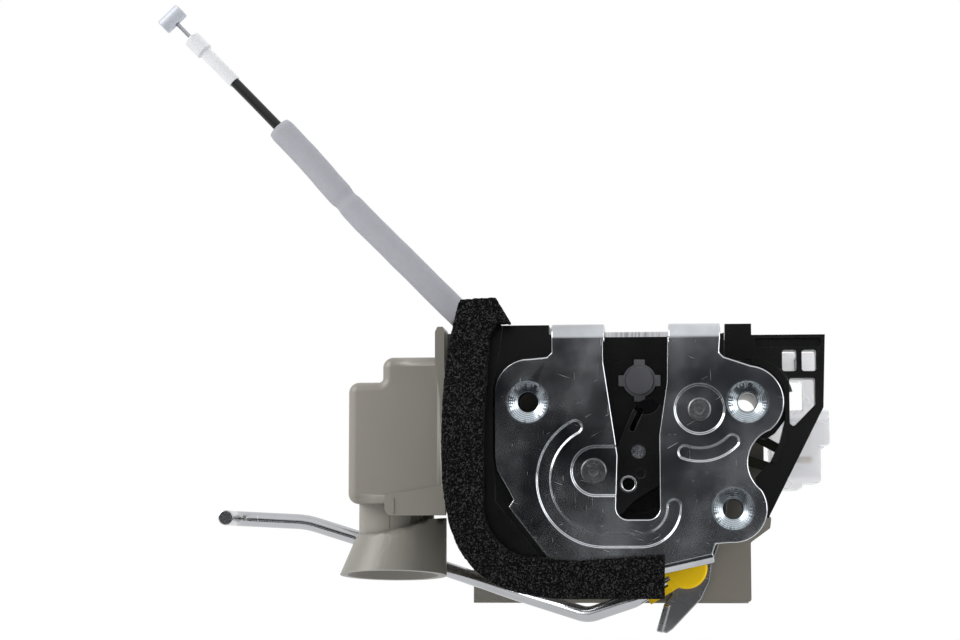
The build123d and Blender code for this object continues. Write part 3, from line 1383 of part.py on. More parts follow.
with BuildPart() as connector_shell:
    with BuildSketch(depth(CONN_BACK)):
        add(polygon((38.2, 0.6), (52.6, 0.6), (52.6, 11.4), (55.2, 11.4), (55.2, 21.8), (38.2, 21.8)))
        add(polygon((CASE_RIGHT, -1.2), (47.2, -1.2), (47.2, 2.0), (CASE_RIGHT, 2.0)))
        rounded = ((52.6, 0.6), (55.2, 11.4), (47.2, -1.2))
        fillet([vertices().sort_by_distance(corner)[0] for corner in rounded], 1.2)
    extrude(amount=CONN_BACK - CONN_FRONT)
    fillet(connector_shell.edges().filter_by(Axis.X).group_by(Axis.Z)[-1], 1.2)
    with BuildSketch(Plane.YZ.offset(CONN_X)):
        with Locations(((CONN_FRONT + CONN_BACK) / 2, 11.2)):
            RectangleRounded(CONN_BACK - CONN_FRONT - 2 * CONN_WALL, 17.2, 1.5)
    extrude(amount=20.0, mode=Mode.SUBTRACT)
    # guard above the socket, seen through the windows of the frame
    with BuildSketch(depth(CONN_FRONT + 5.0)):
        add(polygon((CASE_RIGHT, 30.0), (52.0, 30.0), (52.0, 38.4), (CASE_RIGHT, 38.4)))
        add(polygon((47.6, 21.0), (52.0, 21.0), (52.0, 31.0), (47.6, 31.0)))
    extrude(amount=5.0)
    with BuildSketch(depth(CONN_FRONT + 2.2)):
        add(polygon((45.2, 32.6), (46.6, 32.6), (46.6, 37.0), (45.2, 37.0)))
    extrude(amount=2.2, mode=Mode.SUBTRACT)
finish(connector_shell, "connector_shell")

with BuildPart() as terminal_pins:
    with BuildSketch(Plane.YZ.offset(CONN_X)):
        with Locations(((CONN_FRONT + CONN_BACK) / 2, 11.2)):
            with GridLocations(3.4, 7.0, 4, 2):
                Rectangle(0.8, 1.6)
    extrude(amount=8.0)
    chamfer(terminal_pins.faces().group_by(Axis.X)[-1].edges(), 0.25)
finish(terminal_pins, "terminal_pins")


# ---------------------------------------------------------------- inside-release lever
INSIDE_LEVER_FRONT = 16.5
CABLE_ARM = (14.8, 36.0)
ARM_SLOT = (16.9, 100.0, 6.7)  # of the cable arm: distance and direction from the pivot, overall length
BARREL_R = 1.6
CORE_Y = 19.1
BARREL_BACK = 19.4

with BuildPart() as inside_lever:
    with BuildSketch(depth(INSIDE_LEVER_BACK)):
        add(
            polygon(
                (22.0, 24.5), (30.0, 17.4), (35.0, 14.6), (42.0, 10.6), (41.4, 4.2), (38.0, 3.2), (29.8, 6.0),
                (26.0, 12.5), (18.0, 15.2),
            )  # fmt: skip
        )
        with Locations(PAWL_PIVOT):
            Circle(6.2)
        add(polygon((12.4, 21.0), (10.2, 37.4), (11.6, 41.7), (15.8, 41.7), (18.6, 37.4), (22.6, 21.0)))
        add(polygon((33.2, 12.4), (39.4, 9.0), (38.6, 6.0), (31.6, 8.2)), mode=Mode.SUBTRACT)
        with Locations(polar(ARM_SLOT[0], ARM_SLOT[1], PAWL_PIVOT)):
            SlotOverall(ARM_SLOT[2], 2 * BARREL_R + 0.8, rotation=ARM_SLOT[1], mode=Mode.SUBTRACT)
        with Locations(PAWL_PIVOT):
            Circle(TENON_R + RUNNING, mode=Mode.SUBTRACT)
    extrude(amount=INSIDE_LEVER_BACK - INSIDE_LEVER_FRONT)
finish(inside_lever, "inside_lever")


# ---------------------------------------------------------------- cable
CLAMP_LEFT, CLAMP_RIGHT = -51.5, -43.4
CLAMP_TOP = 49.5
CLAMP_CUT = 3.1
CABLE_Y = 19.0
PULL = 6.0  # travel of the wire
SLEEVE_START = 0.4  # gap between the clamp and the sleeve
CABLE_POINTS = [
    (CLAMP_LEFT + CLAMP_CUT / 2, CABLE_Y, CLAMP_TOP - CLAMP_CUT / 2),
    (CLAMP_LEFT + CLAMP_CUT / 2 - 17.0, CABLE_Y, CLAMP_TOP - CLAMP_CUT / 2 + 17.0),
    (-86.8, 20.6, 84.9),
    (-99.0, 21.6, 99.5),
    (-120.3, 22.8, 121.3),
]


def cord_radii(points):
    """The largest arc at each corner that its two runs leave room for."""
    radii = []
    for before, corner, after in zip(points, points[1:], points[2:]):
        run_in, run_out = Vector(*corner) - Vector(*before), Vector(*after) - Vector(*corner)
        half_turn = radians(run_in.get_angle(run_out)) / 2
        radii.append(0.45 * min(run_in.length, run_out.length) / tan(half_turn))
    return radii


def towards(start, end, distance):
    """The point at a distance from start on the way to end."""
    way = (Vector(*end) - Vector(*start)).normalized()
    return tuple(Vector(*start) + way * distance)


CABLE_RADII = cord_radii(CABLE_POINTS)
CORE_START = (CLAMP_RIGHT + 0.5, CORE_Y, 42.9)
CORE_END = (CABLE_ARM[0], CORE_Y, CABLE_ARM[1])
core_way = (Vector(*CORE_END) - Vector(*CORE_START)).normalized()

with BuildPart() as cable_clamp:
    with BuildSketch(depth(24.0)):
        add(
            polygon(
                (CLAMP_LEFT, CASE_TOP), (CLAMP_RIGHT, CASE_TOP), (CLAMP_RIGHT, CLAMP_TOP),
                (CLAMP_LEFT + CLAMP_CUT, CLAMP_TOP), (CLAMP_LEFT, CLAMP_TOP - CLAMP_CUT),
            )  # fmt: skip
        )
    extrude(amount=10.0)
    fillet(cable_clamp.edges().filter_by(Axis.Y).group_by(Axis.X)[-1], 0.8)
    # bore that the inner wire is drawn into
    with BuildSketch(Plane(origin=CORE_START, z_dir=-core_way)):
        Circle(WIRE_D / 2 + 0.4)
    extrude(amount=PULL + 1.2, mode=Mode.SUBTRACT)
finish(cable_clamp, "cable_clamp")

with BuildPart() as cable_conduit:
    with BuildLine() as conduit_path:
        FilletPolyline(*CABLE_POINTS, radius=CABLE_RADII)
    with BuildSketch(Plane(origin=conduit_path.line @ 0, z_dir=conduit_path.line % 0)):
        Circle(CONDUIT_D / 2)
    sweep(path=conduit_path.line, transition=Transition.ROUND)
finish(cable_conduit, "cable_conduit")

with BuildPart() as cable_sleeve:
    with BuildLine() as sleeve_path:
        FilletPolyline(
            towards(CABLE_POINTS[0], CABLE_POINTS[1], SLEEVE_START),
            *CABLE_POINTS[1:4],
            towards(CABLE_POINTS[3], CABLE_POINTS[4], 11.6),
            radius=CABLE_RADII,
        )
    with BuildSketch(Plane(origin=sleeve_path.line @ 0, z_dir=sleeve_path.line % 0)):
        Circle(SLEEVE_D / 2)
        Circle(CONDUIT_D / 2 + 0.1, mode=Mode.SUBTRACT)
    sweep(path=sleeve_path.line, transition=Transition.ROUND)
finish(cable_sleeve, "cable_sleeve")

CABLE_END = Plane(
    origin=CABLE_POINTS[-1],
    z_dir=(Vector(*CABLE_POINTS[-1]) - Vector(*CABLE_POINTS[-2])).normalized(),
)
NIPPLE_AT = FERRULE_L + WIRE_OUT

with BuildPart() as cable_ferrule:
    with BuildSketch(CABLE_END):
        Circle(FERRULE_D / 2)
    extrude(amount=FERRULE_L)
    with BuildSketch(CABLE_END.offset(FERRULE_L - FERRULE_HEAD_L)):
        Circle(FERRULE_HEAD_D / 2)
    extrude(amount=FERRULE_HEAD_L)
    fillet(cable_ferrule.edges().filter_by(GeomType.CIRCLE).sort_by_distance(CABLE_END.offset(FERRULE_L).origin)[0], 0.6)
    with BuildSketch(CABLE_END):
        Circle(WIRE_D / 2 + 0.15)
    extrude(amount=FERRULE_L, mode=Mode.SUBTRACT)
finish(cable_ferrule, "cable_ferrule")

with BuildPart() as cable_wire:
    with BuildSketch(CABLE_END.offset(1.0)):
        Circle(WIRE_D / 2)
    extrude(amount=NIPPLE_AT - 1.0)
finish(cable_wire, "cable_wire")

nipple_centre = CABLE_END.offset(NIPPLE_AT).origin
nipple_way = CABLE_END.z_dir.cross(Vector(0, 1, 0)).normalized()
with BuildPart() as cable_nipple:
    with BuildSketch(Plane(origin=nipple_centre - nipple_way * (NIPPLE_L / 2), z_dir=nipple_way)):
        Circle(NIPPLE_D / 2)
    extrude(amount=NIPPLE_L)
    chamfer(cable_nipple.edges().filter_by(GeomType.CIRCLE), 0.35)
    with BuildSketch(CABLE_END.offset(1.0)):
        Circle(WIRE_D / 2)
    extrude(amount=NIPPLE_AT - 1.0, mode=Mode.SUBTRACT)
finish(cable_nipple, "cable_nipple")

# inner end of the wire, from the clamp to the inside-release lever
with BuildPart() as cable_core:
    with BuildSketch(Plane(origin=CORE_START, z_dir=core_way)):
        Circle(WIRE_D / 2)
    extrude(amount=(Vector(*CORE_END) - Vector(*CORE_START)).length)
    with BuildSketch(depth(BARREL_BACK)):
        with Locations(CABLE_ARM):
            Circle(BARREL_R)
    extrude(amount=BARREL_BACK - INSIDE_LEVER_FRONT + 0.1)
finish(cable_core, "cable_core")


# ---------------------------------------------------------------- foam seal
SEAL_FRONT = -5.0

with BuildPart() as foam_seal:
    with BuildSketch(depth(0)):
        with BuildLine():
            Spline(
                (-49.7, 51.8), (-52.6, 40.0), (-54.8, 18.2), (-53.6, -7.0), (-50.2, -17.8), (-42.5, -26.6),
                (-28.8, -31.5), (-14.3, -32.3),
            )  # fmt: skip
            Polyline((-14.3, -32.3), (7.4, -32.2), (7.5, -19.8), (-17.3, -21.6), (-27.4, -20.6))
            Spline((-27.4, -20.6), (-37.0, -17.8), (-41.6, -12.0), (-42.9, -4.0))
            Polyline(
                (-42.9, -4.0), (-42.9, 16.2), (-41.1, 42.0), (-39.4, 44.8), (-35.0, 44.7), (-39.5, 52.3), (-49.7, 51.8)
            )
        make_face()
    extrude(amount=-SEAL_FRONT)
    with BuildSketch(depth(LEDGE_FRONT)):
        add(polygon((-49.5, 49.0), (-51.5, 18.0), (-50.5, -6.0), (-46.5, -16.0), (-43.6, -14.0), (-43.6, 42.0), (-41.8, 49.0)))
    extrude(amount=LEDGE_FRONT)
finish(foam_seal, "foam_seal")
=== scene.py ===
"""Door latch actuator: rounded pieces, finishes, foam, cable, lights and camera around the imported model."""

import json
import math

import bmesh
import bpy
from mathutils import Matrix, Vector, noise
from mathutils.bvhtree import BVHTree


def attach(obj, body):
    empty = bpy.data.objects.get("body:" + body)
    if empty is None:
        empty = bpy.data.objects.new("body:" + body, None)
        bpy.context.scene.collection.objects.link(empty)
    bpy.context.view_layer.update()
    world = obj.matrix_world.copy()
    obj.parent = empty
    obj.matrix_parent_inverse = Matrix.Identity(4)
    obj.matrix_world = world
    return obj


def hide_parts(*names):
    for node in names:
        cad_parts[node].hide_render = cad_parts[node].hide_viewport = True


bl_info = {
    "name": "Door Latch Actuator",
    "version": (1, 1, 0),
    "blender": (4, 5, 0),
    "location": "View3D > Sidebar > Latch",
    "description": "Finishes the pieces of a vehicle door latch and lights them",
    "category": "Object",
}

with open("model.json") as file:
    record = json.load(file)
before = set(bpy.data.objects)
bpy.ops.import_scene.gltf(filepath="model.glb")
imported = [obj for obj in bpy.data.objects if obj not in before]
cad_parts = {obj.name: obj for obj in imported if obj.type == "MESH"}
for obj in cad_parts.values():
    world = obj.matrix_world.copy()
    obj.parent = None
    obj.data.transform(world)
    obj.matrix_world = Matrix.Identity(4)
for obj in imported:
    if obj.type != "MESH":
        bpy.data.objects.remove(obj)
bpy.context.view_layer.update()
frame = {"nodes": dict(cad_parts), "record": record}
nodes = frame["nodes"]
bodies = frame["record"]["behaviour"]["bodies"]
body_of = {name: body for body, names in bodies.items() for name in names}

MM = 0.001

# The route of the pull cable, in millimetres, from the clamp on the housing to the mouth of its ferrule
CABLE_ROUTE = [
    (-49.95, 19.0, 47.95),
    (-66.95, 19.0, 64.95),
    (-86.8, 20.6, 84.9),
    (-99.0, 21.6, 99.5),
    (-120.3, 22.8, 121.3),
]

# Places on the front of the latch, in millimetres across and up
SCREW_SEATS = ((-30.8, 23.0), (30.9, 22.7), (26.6, -7.2))
CLAW_PIVOT, PAWL_PIVOT = (-12.3, 3.4), (17.5, 20.7)
CLAW_WINDOW = (0.3, 9.07)

# Rounding of the edges of small pieces, which the panel doesn't set
CAST_EDGE, ROD_EDGE = 0.35 * MM, 0.3 * MM
SMALL_EDGE, FINE_EDGE, BUSH_EDGE = 0.2 * MM, 0.15 * MM, 0.12 * MM

FLOOR_Z = -0.0465
FLOOR_SIZE = 14
CAMERA_PLACE = (0.009877, -0.61889, -0.0190)
CAMERA_AZIMUTH, CAMERA_ELEVATION = math.radians(5.0), math.radians(-6.0)
SENSOR_WIDTH, FOCAL_PIXELS, FRAME_PIXELS = 36.0, 2200, 960
# The floor's glow rises from this share to white between these distances from the middle
SHADOW_GLOW, SHADOW_FADE = 0.86, (0.12, 0.45)
LAMP_SIZE = 0.8
LAMP_TARGET = (0, 0, 0.03)
# Each lamp's name, place, power, and whether shiny pieces mirror it
LAMPS = (
    ("key", (-0.95, -0.5, 0.65), 11.0, True),
    ("fill", (1.0, -0.5, 0.3), 5.0, True),
    ("top", (0.1, 0.35, 1.0), 7.0, False),
)
# Each dark card's name, place, tilt, size, and whether it dims matte pieces too
CARDS = (
    ("dark_card", (0, -1.25, 0.27), math.pi / 2, (2.6, 0.62), True),
    ("near_card", (0, -0.075, FLOOR_Z + MM), 0.0, (0.3, 0.11), False),
    ("far_card", (0, -0.735, FLOOR_Z + MM), 0.0, (2.6, 1.03), False),
)


# ------------------------------------------------------------------ settings
def length(label, purpose, default):
    """A length that can be set in the panel."""
    return bpy.props.FloatProperty(name=label, description=purpose, default=default * MM, unit="LENGTH")


class LatchSizes(bpy.types.PropertyGroup):
    """Sizes of the pieces that are made here"""

    conduit_diameter: length("Conduit Diameter", "Outside diameter of the black conduit", 3.0)
    sleeve_diameter: length("Sleeve Diameter", "Outside diameter of the foam sleeve", 7.6)
    foam_grain: length("Foam Grain", "Size of the crumbs on the seal's surface", 0.95)
    foam_relief: length("Foam Relief", "Depth of the pits on the seal's surface", 0.5)
    sheet_edge: length("Sheet Edge", "Rounding of the stamped edges of sheet steel", 0.45)
    moulded_edge: length("Moulded Edge", "Rounding of the edges of the mouldings", 0.28)


def colour(label, default):
    """A colour that can be picked in the panel."""
    purpose = f"Colour of the {label.lower()}"
    return bpy.props.FloatVectorProperty(
        name=label, description=purpose, subtype="COLOR", size=3, min=0, max=1, default=default
    )


class LatchColours(bpy.types.PropertyGroup):
    """Colours of the finishes"""

    plate: colour("Plate Steel", (0.62, 0.64, 0.67))
    seat: colour("Screw Seats", (0.50, 0.56, 0.61))
    steel: colour("Bright Steel", (0.55, 0.56, 0.58))
    claw: colour("Claw Steel", (0.085, 0.087, 0.095))
    black: colour("Black Moulding", (0.0028, 0.0028, 0.0031))
    beige: colour("Beige Moulding", (0.225, 0.211, 0.182))
    yellow: colour("Yellow Clip", (0.86, 0.56, 0.001))
    clear: colour("Clear Moulding", (0.94, 0.95, 0.98))
    white: colour("White Moulding", (0.63, 0.63, 0.645))
    plug: colour("Plug", (0.15, 0.15, 0.165))
    olive: colour("Olive Lever", (0.07, 0.072, 0.055))
    foam: colour("Foam Seal", (0.0055, 0.0055, 0.006))
    sleeve: colour("Foam Sleeve", (0.36, 0.36, 0.39))
    zinc: colour("Zinc Casting", (0.46, 0.485, 0.53))
    rod: colour("Release Rod", (0.50, 0.51, 0.53))
    wire: colour("Cable Wire", (0.40, 0.42, 0.45))
    spring: colour("Spring Wire", (0.3, 0.31, 0.33))
    brass: colour("Tinned Brass", (0.7, 0.62, 0.42))
    sheath: colour("Conduit Sheath", (0.012, 0.012, 0.013))


def sizes():
    """The sizes set in the panel."""
    return bpy.context.scene.latch_sizes


def colours():
    """The colours set in the panel."""
    return bpy.context.scene.latch_colours


# ------------------------------------------------------------------ node helpers
def shader_group(name, inputs, outputs):
    """A node group with named value or colour sockets, and its input and output nodes."""
    group = bpy.data.node_groups.new(name, "ShaderNodeTree")
    for label, kind, default in inputs:
        socket = group.interface.new_socket(label, in_out="INPUT", socket_type=kind)
        if default is not None:
            socket.default_value = default
    for label in outputs:
        group.interface.new_socket(label, in_out="OUTPUT", socket_type="NodeSocketFloat")
    return group, group.nodes.new("NodeGroupInput"), group.nodes.new("NodeGroupOutput")


def node(tree, kind, **settings):
    """A new node with its properties, and its input values where a name is one."""
    made = tree.nodes.new(kind)
    for key, value in settings.items():
        if hasattr(made, key):
            setattr(made, key, value)
        else:
            made.inputs[key.replace("_", " ")].default_value = value
    return made


def maths(tree, operation, first, second=0.0):
    """One sum on two values or sockets."""
    made = node(tree, "ShaderNodeMath", operation=operation)
    for socket, value in zip(made.inputs, (first, second)):
        if isinstance(value, bpy.types.NodeSocket):
            tree.links.new(value, socket)
        else:
            socket.default_value = value
    return made.outputs[0]


def ranged(tree, value, low, high, to_low=0.0, to_high=1.0):
    """A value spread from one range over another, and held there."""
    made = tree.nodes.new("ShaderNodeMapRange")
    tree.links.new(value, made.inputs["Value"])
    for label, number in (("From Min", low), ("From Max", high), ("To Min", to_low), ("To Max", to_high)):
        made.inputs[label].default_value = number
    return made.outputs[0]


def mixed(tree, factor, first, second):
    """A colour between two, by a mask."""
    made = node(tree, "ShaderNodeMix", data_type="RGBA")
    tree.links.new(factor, made.inputs["Factor"])
    for label, value in (("A", first), ("B", second)):
        socket = next(s for s in made.inputs if s.name == label and s.type == "RGBA")
        if isinstance(value, bpy.types.NodeSocket):
            tree.links.new(value, socket)
        else:
            socket.default_value = (*value, 1.0)
    return next(s for s in made.outputs if s.type == "RGBA")


def noised(tree, source, scale, detail=2.0, stretch=None):
    """A noise on the piece's own coordinates, stretched along one way where asked."""
    made = node(tree, "ShaderNodeTexNoise", Scale=scale, Detail=detail)
    if stretch:
        way = tree.nodes.new("ShaderNodeMapping")
        way.inputs["Scale"].default_value = stretch
        tree.links.new(source, way.inputs["Vector"])
        source = way.outputs[0]
    tree.links.new(source, made.inputs["Vector"])
    return made.outputs["Fac"]


def found(tree, kind):
    """The node of a kind that a tree has one of."""
    return next(n for n in tree.nodes if n.type == kind)


def source_of(socket):
    """The output that feeds an input."""
    return socket.links[0].from_socket


# ------------------------------------------------------------------ shared effects
# Between which values most of a noise lies, and nearly all of it
NOISE_MIDDLE, NOISE_SPREAD = (0.35, 0.65), (0.3, 0.7)

# Cosines between a corner's rounded and flat normals at which its edge mask begins and is full
WORN_FROM, WORN_FULLY = 0.995, 0.9

SCRATCH_TURNS = (0.5, 1.6, 2.8)
SCRATCH_STRETCH = 26.0
SCRATCH_FROM, SCRATCH_FULLY = 0.71, 0.75
DUST_FROM, DUST_FULLY = 0.70, 0.78
BRUSH_STRETCH, BRUSH_FADE = (1, 0.06, 0.06), (0.42, 0.62)
# Heights over which the foam goes from its painted pit shade to its pale tops, and noise values over which
# its painted glints appear
PIT_SHADE_FADE, GLINT_FADE = (0.0, 0.5), (0.50, 0.70)


def wear_group():
    """Mask of the outer edges of a piece, from the corners that a small rounding finds; mouldings are painted
    paler along it, partly as wear and partly as painted edge highlight, and metals brighter as rubbed wear.
    """
    group, given, result = shader_group(
        "edge wear", [("Width", "NodeSocketFloat", 0.0006), ("Breakup", "NodeSocketFloat", 0.5)], ["Mask"]
    )
    place = node(group, "ShaderNodeTexCoord")
    speckle = noised(group, place.outputs["Object"], scale=900.0, detail=3.0)
    softened = node(group, "ShaderNodeBevel", samples=4)
    group.links.new(given.outputs["Width"], softened.inputs["Radius"])
    plain = node(group, "ShaderNodeNewGeometry")
    across = node(group, "ShaderNodeVectorMath", operation="DOT_PRODUCT")
    group.links.new(softened.outputs[0], across.inputs[0])
    group.links.new(plain.outputs["True Normal"], across.inputs[1])
    corner = ranged(group, across.outputs["Value"], WORN_FROM, WORN_FULLY)
    broken = maths(group, "MULTIPLY", ranged(group, speckle, *NOISE_MIDDLE), given.outputs["Breakup"])
    mask = maths(group, "MULTIPLY", corner, maths(group, "SUBTRACT", 1.0, broken))
    group.links.new(mask, result.inputs["Mask"])
    return group


def grain_group():
    """Fine spark-eroded texture of a moulding, slow clouding and a few dust specks."""
    group, given, result = shader_group(
        "mould grain", [("Scale", "NodeSocketFloat", 2500.0)], ["Height", "Cloud", "Dust"]
    )
    place = node(group, "ShaderNodeTexCoord")
    fine = node(group, "ShaderNodeTexNoise", Detail=2.0)
    group.links.new(place.outputs["Object"], fine.inputs["Vector"])
    group.links.new(given.outputs["Scale"], fine.inputs["Scale"])
    group.links.new(fine.outputs["Fac"], result.inputs["Height"])
    cloud = noised(group, place.outputs["Object"], scale=45.0, detail=4.0)
    group.links.new(cloud, result.inputs["Cloud"])
    specks = noised(group, place.outputs["Object"], scale=620.0)
    group.links.new(ranged(group, specks, DUST_FROM, DUST_FULLY), result.inputs["Dust"])
    return group


def scratch_group():
    """Hairline scratches in three ways, and the blotches of a plated sheet."""
    group, given, result = shader_group(
        "handling marks", [("Scale", "NodeSocketFloat", 110.0)], ["Marks", "Cloud", "Fine"]
    )
    place = node(group, "ShaderNodeTexCoord")
    total = None
    for turn in SCRATCH_TURNS:
        way = node(group, "ShaderNodeVectorRotate", rotation_type="Y_AXIS")
        way.inputs["Angle"].default_value = turn
        group.links.new(place.outputs["Object"], way.inputs["Vector"])
        thin = node(group, "ShaderNodeVectorMath", operation="MULTIPLY")
        group.links.new(way.outputs[0], thin.inputs[0])
        thin.inputs[1].default_value = (1.0, 1.0, SCRATCH_STRETCH)
        streaks = node(group, "ShaderNodeTexNoise", Detail=3.0)
        group.links.new(thin.outputs[0], streaks.inputs["Vector"])
        group.links.new(given.outputs["Scale"], streaks.inputs["Scale"])
        hairline = ranged(group, streaks.outputs["Fac"], SCRATCH_FROM, SCRATCH_FULLY)
        total = hairline if total is None else maths(group, "MAXIMUM", total, hairline)
    group.links.new(total, result.inputs["Marks"])
    cloud = noised(group, place.outputs["Object"], scale=55.0, detail=3.0)
    group.links.new(cloud, result.inputs["Cloud"])
    group.links.new(noised(group, place.outputs["Object"], scale=1400.0), result.inputs["Fine"])
    return group


def ring_group():
    """Turned rings about an axis along the depth: distance from it, in metres, and the rings as a height."""
    group, given, result = shader_group(
        "turned rings",
        [("Centre", "NodeSocketVector", (0, 0, 0)), ("Pitch", "NodeSocketFloat", 0.0005)],
        ["Distance", "Rings"],
    )
    place = node(group, "ShaderNodeTexCoord")
    away = node(group, "ShaderNodeVectorMath", operation="SUBTRACT")
    group.links.new(place.outputs["Object"], away.inputs[0])
    group.links.new(given.outputs["Centre"], away.inputs[1])
    level = node(group, "ShaderNodeVectorMath", operation="MULTIPLY")
    group.links.new(away.outputs[0], level.inputs[0])
    level.inputs[1].default_value = (1, 0, 1)
    reach = node(group, "ShaderNodeVectorMath", operation="LENGTH")
    group.links.new(level.outputs[0], reach.inputs[0])
    wave = maths(group, "SINE", maths(group, "DIVIDE", reach.outputs["Value"], given.outputs["Pitch"]))
    group.links.new(reach.outputs["Value"], result.inputs["Distance"])
    group.links.new(ranged(group, wave, -1.0, 1.0), result.inputs["Rings"])
    return group


GROUPS = {
    "edge wear": wear_group,
    "mould grain": grain_group,
    "handling marks": scratch_group,
    "turned rings": ring_group,
}


def placed(tree, name, **values):
    """A shared effect in a material, with its own values."""
    made = tree.nodes.new("ShaderNodeGroup")
    made.node_tree = bpy.data.node_groups.get(name) or GROUPS[name]()
    for key, value in values.items():
        made.inputs[key].default_value = value
    return made


# ------------------------------------------------------------------ finishes
def new_material(name):
    """A material with a Principled BSDF, and its tree and shader."""
    material = bpy.data.materials.new(name)
    material.use_nodes = True
    tree = material.node_tree
    return material, tree, found(tree, "BSDF_PRINCIPLED")


def bump(tree, shader, height, distance):
    """Raises a surface by a height, up to a distance."""
    made = tree.nodes.new("ShaderNodeBump")
    made.inputs["Distance"].default_value = distance
    tree.links.new(height, made.inputs["Height"])
    tree.links.new(made.outputs[0], shader.inputs["Normal"])


def lighter(tone, by, plus=0.0):
    """A colour times a number, with more added; under 1 it is darker."""
    return tuple(min(1.0, c * by + plus) for c in tone)


def moulding(
    name, tone, roughness=0.42, scale=2500.0, relief=0.00002, edge_wear_and_highlight=0.35, cloud=0.12, specular=0.5, dust=0.1
):
    """A moulded plastic: fine grain, slight clouding, dust specks, and paler outer edges that are partly
    rubbed wear and partly painted edge highlight.
    """
    material, tree, shader = new_material(name)
    grain = placed(tree, "mould grain", Scale=scale)
    wear = placed(tree, "edge wear", Width=0.0005, Breakup=0.7)
    body = mixed(tree, grain.outputs["Cloud"], lighter(tone, 1 - cloud), lighter(tone, 1 + cloud))
    # outer edges painted paler: partly rubbed wear, partly painted edge highlight
    edge_rub_and_highlight = maths(tree, "MULTIPLY", wear.outputs["Mask"], edge_wear_and_highlight)
    rubbed = mixed(tree, edge_rub_and_highlight, body, lighter(tone, 1.35, plus=0.03))
    specks = maths(tree, "MULTIPLY", grain.outputs["Dust"], dust)
    speckled = mixed(tree, specks, rubbed, lighter(tone, 1.2, plus=0.12))
    tree.links.new(speckled, shader.inputs["Base Color"])
    rough = ranged(tree, grain.outputs["Cloud"], *NOISE_SPREAD, roughness - 0.06, roughness + 0.08)
    tree.links.new(rough, shader.inputs["Roughness"])
    shader.inputs["Specular IOR Level"].default_value = specular
    bump(tree, shader, grain.outputs["Height"], relief)
    return material


def metal(name, tone, roughness=0.28, marks=0.3, relief=0.000006, cloud=0.12, grit=0.0, brushed=0.0):
    """Bare or plated metal: blotched sheen, hairline scratches and bright rubbed edges."""
    material, tree, shader = new_material(name)
    shader.inputs["Metallic"].default_value = 1.0
    marked = placed(tree, "handling marks")
    wear = placed(tree, "edge wear", Width=0.0006, Breakup=0.4)
    blotches = ranged(tree, marked.outputs["Cloud"], *NOISE_MIDDLE)
    body = mixed(tree, blotches, lighter(tone, 1 - cloud), tone)
    if grit:
        crumbs = ranged(tree, marked.outputs["Fine"], *NOISE_MIDDLE, 0.0, grit)
        body = mixed(tree, crumbs, body, lighter(tone, 0.35))
    if brushed:
        place = node(tree, "ShaderNodeTexCoord")
        streaks = noised(tree, place.outputs["Object"], scale=1500.0, detail=3.0, stretch=BRUSH_STRETCH)
        body = mixed(tree, ranged(tree, streaks, *BRUSH_FADE, 0.0, brushed), body, lighter(tone, 0.3))
    scored = mixed(tree, maths(tree, "MULTIPLY", marked.outputs["Marks"], marks), body, lighter(tone, 1.5))
    top = mixed(tree, maths(tree, "MULTIPLY", wear.outputs["Mask"], 0.7), scored, lighter(tone, 1.35))
    tree.links.new(top, shader.inputs["Base Color"])
    sheen = ranged(tree, marked.outputs["Cloud"], *NOISE_MIDDLE, roughness - 0.05, roughness + 0.08)
    rough = maths(tree, "ADD", sheen, maths(tree, "MULTIPLY", marked.outputs["Marks"], 0.3))
    tree.links.new(rough, shader.inputs["Roughness"])
    fine = maths(tree, "MULTIPLY", marked.outputs["Fine"], 1.0 if grit else 0.04)
    bump(tree, shader, maths(tree, "ADD", marked.outputs["Marks"], fine), relief)
    return material


# Distances from the middle, in metres, between which a turned screw seat and the claw's bare window begin
SEAT_RIM, WINDOW_RIM = (0.0063, 0.0060), (0.0024, 0.0021)


def plate_material(tone, seat):
    """Plated sheet steel, with turned and slightly blued screw seats."""
    material = metal("plate steel", tone, roughness=0.15, marks=0.25, relief=0.000003, cloud=0.3)
    tree = material.node_tree
    shader, raised = found(tree, "BSDF_PRINCIPLED"), found(tree, "BUMP").inputs["Height"]
    plain = source_of(shader.inputs["Base Color"])
    rough = source_of(shader.inputs["Roughness"])
    scratches = source_of(raised)
    near, rings = None, None
    for x, z in SCREW_SEATS:
        seat_rings = placed(tree, "turned rings", Centre=(x * MM, 0, z * MM), Pitch=0.00009)
        mask = ranged(tree, seat_rings.outputs["Distance"], *SEAT_RIM)
        ring = maths(tree, "MULTIPLY", mask, seat_rings.outputs["Rings"])
        near = mask if near is None else maths(tree, "MAXIMUM", near, mask)
        rings = ring if rings is None else maths(tree, "MAXIMUM", rings, ring)
    blued = mixed(tree, rings, lighter(seat, 0.55), seat)
    tree.links.new(mixed(tree, near, plain, blued), shader.inputs["Base Color"])
    tree.links.new(maths(tree, "ADD", rough, maths(tree, "MULTIPLY", near, 0.10)), shader.inputs["Roughness"])
    tree.links.new(maths(tree, "ADD", scratches, maths(tree, "MULTIPLY", rings, 4.0)), raised)
    return material


def claw_material(tone):
    """Darkened steel of the claw, bared to grey grain where the coat leaves a round window."""
    material = metal("claw steel", lighter(tone, 0.12), roughness=0.5, marks=0.1, grit=0.4)
    tree = material.node_tree
    shader = found(tree, "BSDF_PRINCIPLED")
    window = placed(tree, "turned rings", Centre=(CLAW_WINDOW[0] * MM, 0, CLAW_WINDOW[1] * MM), Pitch=0.0002)
    grain = placed(tree, "mould grain", Scale=2600.0)
    bared = mixed(
        tree, ranged(tree, grain.outputs["Height"], *NOISE_MIDDLE), lighter(tone, 0.7), lighter(tone, 3.2)
    )
    plain = source_of(shader.inputs["Base Color"])
    inside = ranged(tree, window.outputs["Distance"], *WINDOW_RIM)
    tree.links.new(mixed(tree, inside, plain, bared), shader.inputs["Base Color"])
    return material


